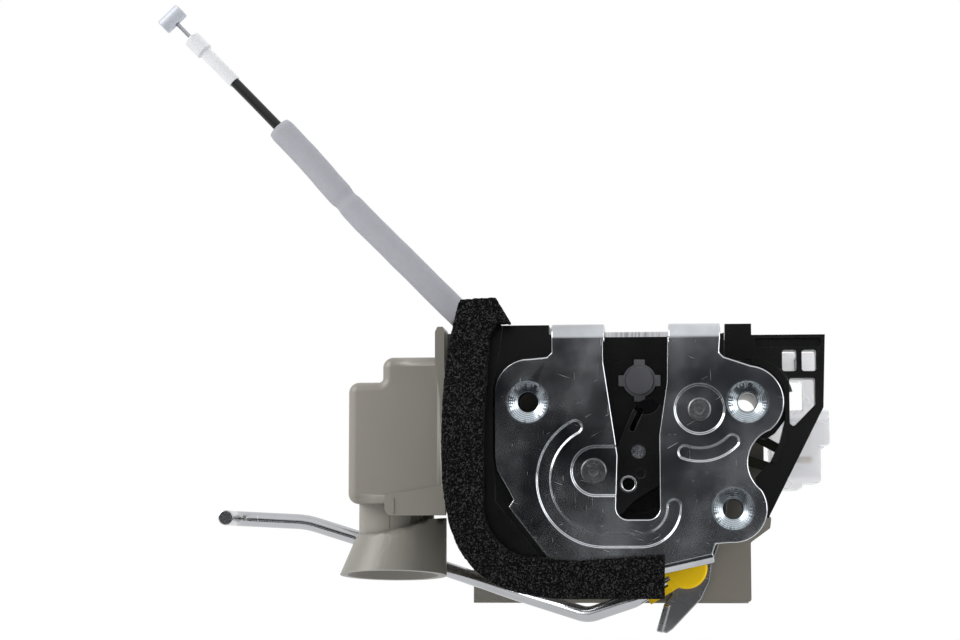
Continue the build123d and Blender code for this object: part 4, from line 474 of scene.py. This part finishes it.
def rivet_material(name, tone, centre):
    """Headed end of a rivet: gritty, with the rings that the riveting tool leaves."""
    material = metal(name, tone, roughness=0.34, marks=0.3, relief=0.00001, grit=0.6)
    tree = material.node_tree
    shader = found(tree, "BSDF_PRINCIPLED")
    turned = placed(tree, "turned rings", Centre=(centre[0] * MM, 0, centre[1] * MM), Pitch=0.00013)
    plain = source_of(shader.inputs["Base Color"])
    ringed = mixed(tree, maths(tree, "MULTIPLY", turned.outputs["Rings"], 0.45), plain, lighter(tone, 0.45))
    tree.links.new(ringed, shader.inputs["Base Color"])
    bumped = found(tree, "BUMP")
    bumped.inputs["Distance"].default_value = 0.00002
    grain = source_of(bumped.inputs["Height"])
    tree.links.new(maths(tree, "ADD", grain, turned.outputs["Rings"]), bumped.inputs["Height"])
    return material


def foam_material(name, tone, pale, scale, speckle, relief, specular=0.2, roughness=0.8):
    """Open-cell foam: matte crumbs painted from a dark tone in the pits of their bump to a pale one on top,
    as painted shade, and a few bright flecks painted as glints.
    """
    material, tree, shader = new_material(name)
    place = node(tree, "ShaderNodeTexCoord")
    cells = node(tree, "ShaderNodeTexVoronoi", Scale=scale)
    tree.links.new(place.outputs["Object"], cells.inputs["Vector"])
    crumbs = noised(tree, place.outputs["Object"], scale * 1.7, detail=4.0)
    glints = noised(tree, place.outputs["Object"], scale * 0.9, detail=3.0)
    height = maths(tree, "ADD", maths(tree, "MULTIPLY", cells.outputs["Distance"], -0.7), crumbs)
    # the crumbs are painted darker in the pits of their bump and paler on top: painted shade
    body = mixed(tree, ranged(tree, height, *PIT_SHADE_FADE), tone, pale)
    # a few bright flecks: painted glints
    flecks = ranged(tree, glints, *GLINT_FADE, 0.0, speckle)
    flecked = mixed(tree, flecks, body, lighter(pale, 1.0, plus=0.2))
    tree.links.new(flecked, shader.inputs["Base Color"])
    rough = ranged(tree, crumbs, *NOISE_SPREAD, roughness - 0.1, roughness + 0.1)
    tree.links.new(rough, shader.inputs["Roughness"])
    shader.inputs["Specular IOR Level"].default_value = specular
    bump(tree, shader, height, relief)
    return material


def clear_material(name, tone, transmission, cover):
    """Milky translucent plastic."""
    material, tree, shader = new_material(name)
    grain = placed(tree, "mould grain", Scale=1500.0)
    body = mixed(tree, grain.outputs["Cloud"], lighter(tone, 0.93), tone)
    tree.links.new(body, shader.inputs["Base Color"])
    rough = ranged(tree, grain.outputs["Cloud"], *NOISE_SPREAD, 0.22, 0.34)
    tree.links.new(rough, shader.inputs["Roughness"])
    shader.inputs["Transmission Weight"].default_value = transmission
    shader.inputs["Alpha"].default_value = cover
    shader.inputs["IOR"].default_value = 1.35
    shader.inputs["Subsurface Weight"].default_value = 0.15
    shader.inputs["Subsurface Scale"].default_value = 0.004
    bump(tree, shader, grain.outputs["Height"], 0.00001)
    return material


def finish_nodes(material, *names):
    """Gives CAD pieces a finish."""
    for name in names:
        mesh = nodes[name].data
        mesh.materials.clear()
        mesh.materials.append(material)


# ------------------------------------------------------------------ rounded copies of the hard pieces
SMOOTH_ANGLE = math.radians(32)
SHARP_ANGLE = math.radians(34)
FLAT_ANGLE = math.radians(0.6)
MERGE = 0.01 * MM
ROOM = 0.42  # share of a short edge that a rounding may take from each of its ends
CROSSING = 0.8  # two edges run across each other where the cosine between them is under this
NARROWER = (1.0, 0.6, 0.3)  # shares of the wanted rounding, tried one after the other
STRAY = 1.1  # widths of its rounding that a corner may lie off the CAD piece's surface


def alone(piece):
    """Selects one piece, and nothing else."""
    bpy.ops.object.select_all(action="DESELECT")
    piece.select_set(True)
    bpy.context.view_layer.objects.active = piece


def copied(name):
    """A merged copy of a CAD piece, with its flat faces in one."""
    piece = bpy.data.objects.new(f"{name}_finished", nodes[name].data.copy())
    piece.data.materials.clear()
    bpy.context.scene.collection.objects.link(piece)
    alone(piece)
    bpy.ops.object.mode_set(mode="EDIT")
    bpy.ops.mesh.select_all(action="SELECT")
    bpy.ops.mesh.remove_doubles(threshold=MERGE)
    bpy.ops.mesh.dissolve_limited(angle_limit=FLAT_ANGLE)
    bpy.ops.object.mode_set(mode="OBJECT")
    return piece


def direction(edge):
    """The way from one end of an edge to the other."""
    return (edge.verts[1].co - edge.verts[0].co).normalized()


def room_beside(edge):
    """The widest rounding that the edges across the ends of a sharp edge leave room for."""
    way = direction(edge)
    across = [
        other.calc_length()
        for end in edge.verts
        for other in end.link_edges
        if other is not edge and abs(direction(other).dot(way)) < CROSSING
    ]
    return ROOM * min(across, default=1.0)


def weighed(piece, width):
    """Marks the sharp outer and inner edges with how much of a rounding each can take."""
    mesh = bmesh.new()
    mesh.from_mesh(piece.data)
    share = mesh.edges.layers.float.new("bevel_weight_edge")
    for edge in mesh.edges:
        if len(edge.link_faces) == 2 and edge.calc_face_angle(0) > SHARP_ANGLE:
            edge[share] = min(1.0, room_beside(edge) / width)
    mesh.to_mesh(piece.data)
    mesh.free()


def strays(piece, name, reach):
    """Whether any corner or face of a rounded piece lies further than this off its CAD piece's surface."""
    given = nodes[name].data
    surface = BVHTree.FromPolygons([v.co for v in given.vertices], [p.vertices for p in given.polygons])
    piece.data.calc_loop_triangles()
    corners = [v.co for v in piece.data.vertices]
    middles = [sum((corners[i] for i in t.vertices), Vector()) / 3 for t in piece.data.loop_triangles]
    return any(surface.find_nearest(place, reach)[0] is None for place in corners + middles)


def bevelled(name, width, segments):
    """A merged copy of a CAD piece with its sharp edges rounded."""
    piece = copied(name)
    weighed(piece, width)
    rim = piece.modifiers.new("rounded edges", "BEVEL")
    rim.width = width
    rim.segments = segments
    rim.limit_method = "WEIGHT"
    rim.use_clamp_overlap = False
    bpy.ops.object.modifier_apply(modifier=rim.name)
    return piece


def rounded(name, edge, material, segments=2):
    """Stands a copy of a CAD piece with rounded edges in its place, and gives it a finish."""
    for share in NARROWER:
        width = edge * share
        piece = bevelled(name, width, segments)
        if not strays(piece, name, width * STRAY):
            break
        bpy.data.objects.remove(piece)
    else:
        piece = copied(name)  # no rounding fits, so its edges stay sharp
    alone(piece)
    bpy.ops.object.shade_smooth_by_angle(angle=SMOOTH_ANGLE)
    flats = piece.modifiers.new("flat faces stay flat", "WEIGHTED_NORMAL")
    flats.keep_sharp = True
    bpy.ops.object.modifier_apply(modifier=flats.name)
    piece.data.materials.append(material)
    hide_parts(name)
    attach(piece, body_of[name])
    return piece


# ------------------------------------------------------------------ cable
# The foam sleeve, in metres along the conduit: bare length before it and after it, and its rounded lips
SLEEVE_START, SLEEVE_END_GAP, SLEEVE_LIP = 0.0006, 0.0195, 0.0012
SLEEVE_BORE = 0.0016
SLEEVE_SIDES = 28
# Where along the sleeve it is creased, over what share of it, and by how much it is waisted there
CREASE_AT, CREASE_SPAN, CREASE_DEPTH = 0.62, 0.02, 0.10
LIP_DEPTH = 0.25
SWELL, SWELL_SCALE = 0.03, 180


def bridged(mesh, low, high):
    """Faces between two rings of corners."""
    for k in range(len(low)):
        after = (k + 1) % len(low)
        mesh.faces.new((low[k], low[after], high[after], high[k]))


def route_points(tube):
    """Points along a curve's own line."""
    plain = tube.copy()
    plain.data = tube.data.copy()
    plain.data.bevel_depth = 0
    bpy.context.scene.collection.objects.link(plain)
    bpy.context.view_layer.update()
    mesh = bpy.data.meshes.new_from_object(plain.evaluated_get(bpy.context.evaluated_depsgraph_get()))
    points = [v.co.copy() for v in mesh.vertices]
    bpy.data.objects.remove(plain)
    bpy.data.meshes.remove(mesh)
    return points


class CableOperator(bpy.types.Operator):
    """Makes the conduit, its foam sleeve and the finishes of the pieces on the cable"""

    bl_idname = "latch.cable"
    bl_label = "Pull Cable"

    def execute(self, context):
        given, tones = sizes(), colours()
        curve = bpy.data.curves.new("conduit", "CURVE")
        curve.dimensions = "3D"
        spline = curve.splines.new("NURBS")
        spline.points.add(len(CABLE_ROUTE) - 1)
        for point, place in zip(spline.points, CABLE_ROUTE):
            point.co = (*(c * MM for c in place), 1)
        spline.order_u = 3
        spline.use_endpoint_u = True
        curve.resolution_u = 24
        curve.bevel_depth = given.conduit_diameter / 2
        curve.bevel_resolution = 6
        conduit = bpy.data.objects.new("conduit", curve)
        context.scene.collection.objects.link(conduit)
        sheath = moulding("conduit sheath", tones.sheath, roughness=0.3, scale=1800.0, specular=0.3)
        curve.materials.append(sheath)
        line = route_points(conduit)
        run = sum((b - a).length for a, b in zip(line, line[1:]))

        sleeve = self.sleeve(line, run, given.sleeve_diameter / 2)
        soft = foam_material(
            "sleeve foam",
            lighter(tones.sleeve, 0.92),
            tuple(tones.sleeve),
            scale=2600.0,
            speckle=0.08,
            relief=0.00003,
        )
        sleeve.data.materials.append(soft)
        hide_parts("cable_conduit")
        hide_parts("cable_sleeve")
        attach(conduit, "latch")
        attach(sleeve, "latch")
        smooth = {"scale": 900.0, "relief": 0.000003, "dust": 0.0}
        milky = moulding("ferrule", tones.white, roughness=0.35, edge_wear_and_highlight=0.1, **smooth)
        ferrule = rounded("cable_ferrule", FINE_EDGE, milky)
        casting = moulding("zinc casting", tones.zinc, roughness=0.3, specular=0.8, **smooth)
        nipple = rounded("cable_nipple", CAST_EDGE, casting)
        finish_nodes(metal("wire", tones.wire, roughness=0.3), "cable_wire", "cable_core")
        return {"FINISHED"}

    def sleeve(self, line, run, radius):
        """A soft tube round the middle of the conduit, waisted where it creases."""
        start, stop = SLEEVE_START, run - SLEEVE_END_GAP
        mesh = bmesh.new()
        centres, rings = [], []
        travelled = 0.0
        for a, b in zip(line, line[1:]):
            if start <= travelled <= stop:
                way = (b - a).normalized()
                centres.append(a)
                rings.append(self.ring(mesh, a, way, travelled - start, stop - start, radius))
            travelled += (b - a).length
        for low, high in zip(rings, rings[1:]):
            bridged(mesh, low, high)
        for ring, centre in ((rings[0], centres[0]), (rings[-1], centres[-1])):
            bore = [mesh.verts.new(centre + (v.co - centre).normalized() * SLEEVE_BORE) for v in ring]
            bridged(mesh, ring, bore)
        bmesh.ops.recalc_face_normals(mesh, faces=mesh.faces)
        data = bpy.data.meshes.new("sleeve")
        mesh.to_mesh(data)
        mesh.free()
        data.shade_smooth()
        piece = bpy.data.objects.new("sleeve", data)
        bpy.context.scene.collection.objects.link(piece)
        return piece

    def ring(self, mesh, centre, way, at, whole, radius):
        """One ring of the sleeve's corners, at a distance along it."""
        side = way.cross(Vector((0, 1, 0))).normalized()
        rise = side.cross(way).normalized()
        pinch = 1 - CREASE_DEPTH * math.exp(-(((at / whole - CREASE_AT) / CREASE_SPAN) ** 2))
        lip = 1 - LIP_DEPTH * max(0.0, 1 - min(at, whole - at) / SLEEVE_LIP) ** 2
        corners = []
        for k in range(SLEEVE_SIDES):
            angle = 2 * math.pi * k / SLEEVE_SIDES
            out = (side * math.cos(angle) + rise * math.sin(angle)) * radius
            swell = 1 + SWELL * noise.noise((centre + out) * SWELL_SCALE)
            corners.append(mesh.verts.new(centre + out * pinch * swell * lip))
        return corners


# ------------------------------------------------------------------ foam seal
SEAL_VOXEL, QUICK_VOXEL = 0.5 * MM, 0.9 * MM
# The coarse pits' depth as a share of the relief, and how much wider they are than the noise's own hollows
COARSE_DEPTH, COARSE_SPREAD = 0.75, 0.15
# The finer pits' depth, how many times smaller they are, and where in the noise they are taken from
FINER_DEPTH, FINER, FINER_PLACE = 0.45, 2.3, Vector((7, 3, 1))


class SealOperator(bpy.types.Operator):
    """Makes the crumbly foam seal round the plate"""

    bl_idname = "latch.seal"
    bl_label = "Foam Seal"

    def execute(self, context):
        given, tones = sizes(), colours()
        seal = copied("foam_seal")
        remesh = seal.modifiers.new("crumbs", "REMESH")
        remesh.mode = "VOXEL"
        remesh.voxel_size = SEAL_VOXEL
        bpy.ops.object.modifier_apply(modifier=remesh.name)
        mesh = bmesh.new()
        mesh.from_mesh(seal.data)
        mesh.normal_update()
        scale = 1 / given.foam_grain
        for v in mesh.verts:
            coarse = COARSE_DEPTH * max(0.0, noise.noise(v.co * scale) + COARSE_SPREAD)
            finer = FINER_DEPTH * max(0.0, noise.noise(v.co * scale * FINER + FINER_PLACE))
            v.co -= v.normal * given.foam_relief * (coarse + finer)
        mesh.to_mesh(seal.data)
        mesh.free()
        seal.data.shade_smooth()
        dark = foam_material(
            "seal foam",
            lighter(tones.foam, 0.05),
            lighter(tones.foam, 0.7),
            scale=2600.0,
            speckle=0.3,
            relief=0.0006,
            specular=0.06,
            roughness=0.7,
        )
        seal.data.materials.append(dark)
        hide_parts("foam_seal")
        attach(seal, "latch")
        return {"FINISHED"}


# ------------------------------------------------------------------ hard pieces
class MetalOperator(bpy.types.Operator):
    """Rounds the steel pieces and gives them their plated, turned and gritty finishes"""

    bl_idname = "latch.metals"
    bl_label = "Steel Pieces"

    def execute(self, context):
        tones, sheet = colours(), sizes().sheet_edge
        rounded("face_plate", sheet, plate_material(tuple(tones.plate), tuple(tones.seat)), segments=3)
        drawn = metal("zinc plate", tones.steel, roughness=0.2, marks=0.3, brushed=0.6)
        rounded("back_plate", sheet * 0.7, drawn)
        handled = metal("lever steel", lighter(tones.steel, 0.7), roughness=0.2, marks=0.6, cloud=0.3)
        rounded("release_lever", sheet * 0.8, handled, segments=3)
        rounded("claw_bush", BUSH_EDGE, metal("bush steel", lighter(tones.steel, 1.4), roughness=0.2))
        rivet = lighter(tones.steel, 0.5)
        rounded("claw_pin", FINE_EDGE, rivet_material("claw rivet", rivet, CLAW_PIVOT))
        rounded("pawl_pin", FINE_EDGE, rivet_material("pawl rivet", rivet, PAWL_PIVOT))
        turned = metal("turned steel", lighter(tones.steel, 0.8), roughness=0.32)
        rounded("lever_pin", SMALL_EDGE, turned)
        rounded("cover_screws", SMALL_EDGE, turned)
        finish_nodes(turned, "wheel_axle", "lock_axle", "motor_can")
        bright = metal("drawn rod", tones.rod, roughness=0.14, marks=0.2)
        rounded("release_rod", ROD_EDGE, bright, segments=3)
        hard = metal("hardened steel", lighter(tones.claw, 0.2), roughness=0.5, grit=0.4)
        rounded("pawl_core", FINE_EDGE, hard)
        rounded("claw_core", FINE_EDGE, claw_material(tuple(tones.claw)))
        finish_nodes(metal("spring wire", tones.spring, roughness=0.3), "claw_spring", "pawl_spring")
        rounded("inside_lever", SMALL_EDGE, metal("olive lever", tones.olive, roughness=0.5))
        finish_nodes(metal("tinned brass", tones.brass, roughness=0.3), "terminal_pins")
        return {"FINISHED"}


class MouldingOperator(bpy.types.Operator):
    """Rounds the plastic pieces and gives them their moulded finishes"""

    bl_idname = "latch.mouldings"
    bl_label = "Mouldings"

    def execute(self, context):
        tones, edge = colours(), sizes().moulded_edge
        black = moulding("black moulding", tones.black, roughness=0.28, specular=0.4, cloud=0.25, dust=0.05)
        for name in ("latch_body", "side_frame", "lock_lever"):
            rounded(name, edge, black)
        for name in ("claw_coat", "pawl_coat", "slot_buffer"):
            rounded(name, edge * 0.6, black)
        finish_nodes(black, "contact_carrier", "claw_switch", "lock_switch")
        housing = {"edge_wear_and_highlight": 0.15, "cloud": 0.05, "scale": 1400.0}
        beige = moulding("beige moulding", tones.beige, roughness=0.40, dust=0.04, **housing)
        rounded("actuator_case", edge * 1.4, beige)
        for name in ("key_rotor", "cable_clamp"):
            rounded(name, edge, beige)
        # the cover's beige is painted 1.45 times lighter than the case's: painted light, standing for light
        # passing through its thin walls from behind
        pale = moulding("pale cover", lighter(tones.beige, 1.45), roughness=0.42, **housing)
        rounded("actuator_cover", edge, pale)
        yellow = moulding(
            "yellow clip", tones.yellow, roughness=0.33, edge_wear_and_highlight=0.1, cloud=0.06, specular=0.2, dust=0.0
        )
        rounded("rod_clip", edge, yellow)
        white = moulding("white gear", lighter(tones.white, 1.2), roughness=0.4, edge_wear_and_highlight=0.1)
        finish_nodes(white, "worm", "worm_wheel")
        grey = moulding("grey plug", tones.plug, roughness=0.45, edge_wear_and_highlight=0.1, cloud=0.2)
        rounded("slot_plug", edge * 0.8, grey)
        clear = clear_material("clear moulding", tones.clear, transmission=0.35, cover=0.6)
        rounded("connector_shell", edge * 1.6, clear, segments=3)
        return {"FINISHED"}


# ------------------------------------------------------------------ stage
FLOOR_TONE = (0.86, 0.86, 0.86)
WORLD_TONE, WORLD_STRENGTH = (0.95, 0.97, 1.0), 0.5
WHITE = (1, 1, 1, 1)
# A dark card's tones at its left, right and top
CARD_LEFT, CARD_RIGHT, CARD_TOP = (0.010, 0.011, 0.013), (0.07, 0.072, 0.077), (0.55, 0.56, 0.58)
# The places across between which left turns to right, and the heights between which it pales and thins out
CARD_TURNS, CARD_PALES, CARD_THINS = (-0.05, 0.16), (0.22, 0.60), (0.16, 0.56)


class StageOperator(bpy.types.Operator):
    """Makes the floor, lights, world and camera"""

    bl_idname = "latch.stage"
    bl_label = "Stage"

    def execute(self, context):
        scene = context.scene
        scene.view_settings.view_transform = "Standard"
        self.floor()
        for card in CARDS:
            self.flag(*card)
        self.world(scene)
        for lamp in LAMPS:
            self.lamp(*lamp)
        self.camera(scene)
        return {"FINISHED"}

    def camera(self, scene):
        """A camera that looks slightly up at the face of the latch."""
        level = math.cos(CAMERA_ELEVATION)
        back = Vector(
            (math.sin(CAMERA_AZIMUTH) * level, -math.cos(CAMERA_AZIMUTH) * level, math.sin(CAMERA_ELEVATION))
        )
        camera = bpy.data.objects.new("camera", bpy.data.cameras.new("camera"))
        scene.collection.objects.link(camera)
        camera.location = CAMERA_PLACE
        camera.rotation_euler = back.to_track_quat("Z", "Y").to_euler()
        camera.data.sensor_width = SENSOR_WIDTH
        camera.data.lens = SENSOR_WIDTH * FOCAL_PIXELS / FRAME_PIXELS
        camera.data.clip_start = 0.01
        scene.camera = camera

    def lamp(self, name, place, power, mirrored):
        """A square lamp that faces the latch."""
        light = bpy.data.lights.new(name, "AREA")
        light.shape = "SQUARE"
        light.size = LAMP_SIZE
        light.energy = power
        lamp = bpy.data.objects.new(name, light)
        bpy.context.scene.collection.objects.link(lamp)
        lamp.location = place
        lamp.visible_glossy = mirrored
        lamp.rotation_euler = (Vector(place) - Vector(LAMP_TARGET)).to_track_quat("Z", "Y").to_euler()

    def seen(self, tree):
        """1 for camera, glossy and transmission rays."""
        path = tree.nodes.new("ShaderNodeLightPath")
        either = maths(tree, "MAXIMUM", path.outputs["Is Camera Ray"], path.outputs["Is Glossy Ray"])
        return maths(tree, "MAXIMUM", either, path.outputs["Is Transmission Ray"])

    def floor(self):
        """A pale floor that keeps the shadow, turns plain white further off, and is clear from below."""
        bpy.ops.object.select_all(action="DESELECT")
        bpy.ops.mesh.primitive_plane_add(size=FLOOR_SIZE, location=(0, 0, FLOOR_Z))
        floor = bpy.context.object
        floor.name = "floor"
        material, tree, shader = new_material("floor")
        shader.inputs["Base Color"].default_value = (*FLOOR_TONE, 1)
        shader.inputs["Roughness"].default_value = 0.9
        glow = node(tree, "ShaderNodeEmission")
        glow.inputs["Color"].default_value = WHITE
        glow.inputs["Strength"].default_value = 1.0
        both = tree.nodes.new("ShaderNodeMixShader")
        place = node(tree, "ShaderNodeTexCoord")
        reach = node(tree, "ShaderNodeVectorMath", operation="LENGTH")
        tree.links.new(place.outputs["Object"], reach.inputs[0])
        white = ranged(tree, reach.outputs["Value"], *SHADOW_FADE, SHADOW_GLOW, 1.0)
        tree.links.new(maths(tree, "MULTIPLY", self.seen(tree), white), both.inputs[0])
        tree.links.new(shader.outputs[0], both.inputs[1])
        tree.links.new(glow.outputs[0], both.inputs[2])
        side = node(tree, "ShaderNodeNewGeometry")
        clear = node(tree, "ShaderNodeBsdfTransparent")
        sided = tree.nodes.new("ShaderNodeMixShader")
        tree.links.new(side.outputs["Backfacing"], sided.inputs[0])
        tree.links.new(both.outputs[0], sided.inputs[1])
        tree.links.new(clear.outputs[0], sided.inputs[2])
        tree.links.new(sided.outputs[0], found(tree, "OUTPUT_MATERIAL").inputs[0])
        floor.data.materials.append(material)

    def flag(self, name, place, tilt, spread, lit):
        """A dark card by the object, paler and thinner towards its top, that the bright metal mirrors."""
        bpy.ops.object.select_all(action="DESELECT")
        bpy.ops.mesh.primitive_plane_add(size=1, location=place, rotation=(tilt, 0, 0))
        card = bpy.context.object
        card.name = name
        card.scale = (*spread, 1)
        bpy.ops.object.transform_apply(location=True, rotation=True, scale=True)
        card.visible_shadow = False
        card.visible_diffuse = lit
        material, tree, shader = new_material("dark card")
        place = node(tree, "ShaderNodeTexCoord")
        parts = node(tree, "ShaderNodeSeparateXYZ")
        tree.links.new(place.outputs["Object"], parts.inputs[0])
        high = ranged(tree, parts.outputs["Z"], *CARD_PALES)
        right = ranged(tree, parts.outputs["X"], *CARD_TURNS)
        low = mixed(tree, right, CARD_LEFT, CARD_RIGHT)
        tree.links.new(mixed(tree, high, low, CARD_TOP), shader.inputs["Base Color"])
        # a bend in the sheet then shades softly from dark to bright
        tree.links.new(ranged(tree, parts.outputs["Z"], *CARD_THINS, 1.0, 0.0), shader.inputs["Alpha"])
        shader.inputs["Roughness"].default_value = 0.9
        shader.inputs["Specular IOR Level"].default_value = 0.1
        card.data.materials.append(material)
        card.visible_camera = False

    def world(self, scene):
        """A plain soft light that looks white."""
        world = bpy.data.worlds.new("studio")
        scene.world = world
        world.use_nodes = True
        tree = world.node_tree
        plain = found(tree, "BACKGROUND")
        plain.inputs["Color"].default_value = (*WORLD_TONE, 1)
        plain.inputs["Strength"].default_value = WORLD_STRENGTH
        white = node(tree, "ShaderNodeBackground")
        white.inputs["Color"].default_value = WHITE
        white.inputs["Strength"].default_value = 1.0
        both = tree.nodes.new("ShaderNodeMixShader")
        tree.links.new(self.seen(tree), both.inputs[0])
        tree.links.new(plain.outputs[0], both.inputs[1])
        tree.links.new(white.outputs[0], both.inputs[2])
        tree.links.new(both.outputs[0], found(tree, "OUTPUT_WORLD").inputs[0])


# ------------------------------------------------------------------ panel
OPERATORS = (StageOperator, CableOperator, MetalOperator, MouldingOperator, SealOperator)


class LatchPanel(bpy.types.Panel):
    """Sizes, colours and pieces of the latch"""

    bl_idname = "VIEW3D_PT_latch"
    bl_label = "Door Latch"
    bl_space_type = "VIEW_3D"
    bl_region_type = "UI"
    bl_category = "Latch"

    def draw(self, context):
        layout = self.layout
        for group in (context.scene.latch_sizes, context.scene.latch_colours):
            box = layout.box()
            for label in group.bl_rna.properties.keys():
                if label not in {"rna_type", "name"}:
                    box.prop(group, label)
        for operator in OPERATORS:
            layout.operator(operator.bl_idname)


CLASSES = (LatchSizes, LatchColours, *OPERATORS, LatchPanel)


def register():
    """Adds the settings, operators and panel."""
    for cls in CLASSES:
        bpy.utils.register_class(cls)
    bpy.types.Scene.latch_sizes = bpy.props.PointerProperty(type=LatchSizes)
    bpy.types.Scene.latch_colours = bpy.props.PointerProperty(type=LatchColours)


def unregister():
    """Takes them away again."""
    del bpy.types.Scene.latch_colours
    del bpy.types.Scene.latch_sizes
    for cls in reversed(CLASSES):
        bpy.utils.unregister_class(cls)


def main():
    """Makes everything."""
    register()
    for operator in OPERATORS:
        group, name = operator.bl_idname.split(".")
        getattr(getattr(bpy.ops, group), name)()
    bpy.context.view_layer.update()


if __name__ == "__main__":
    main()
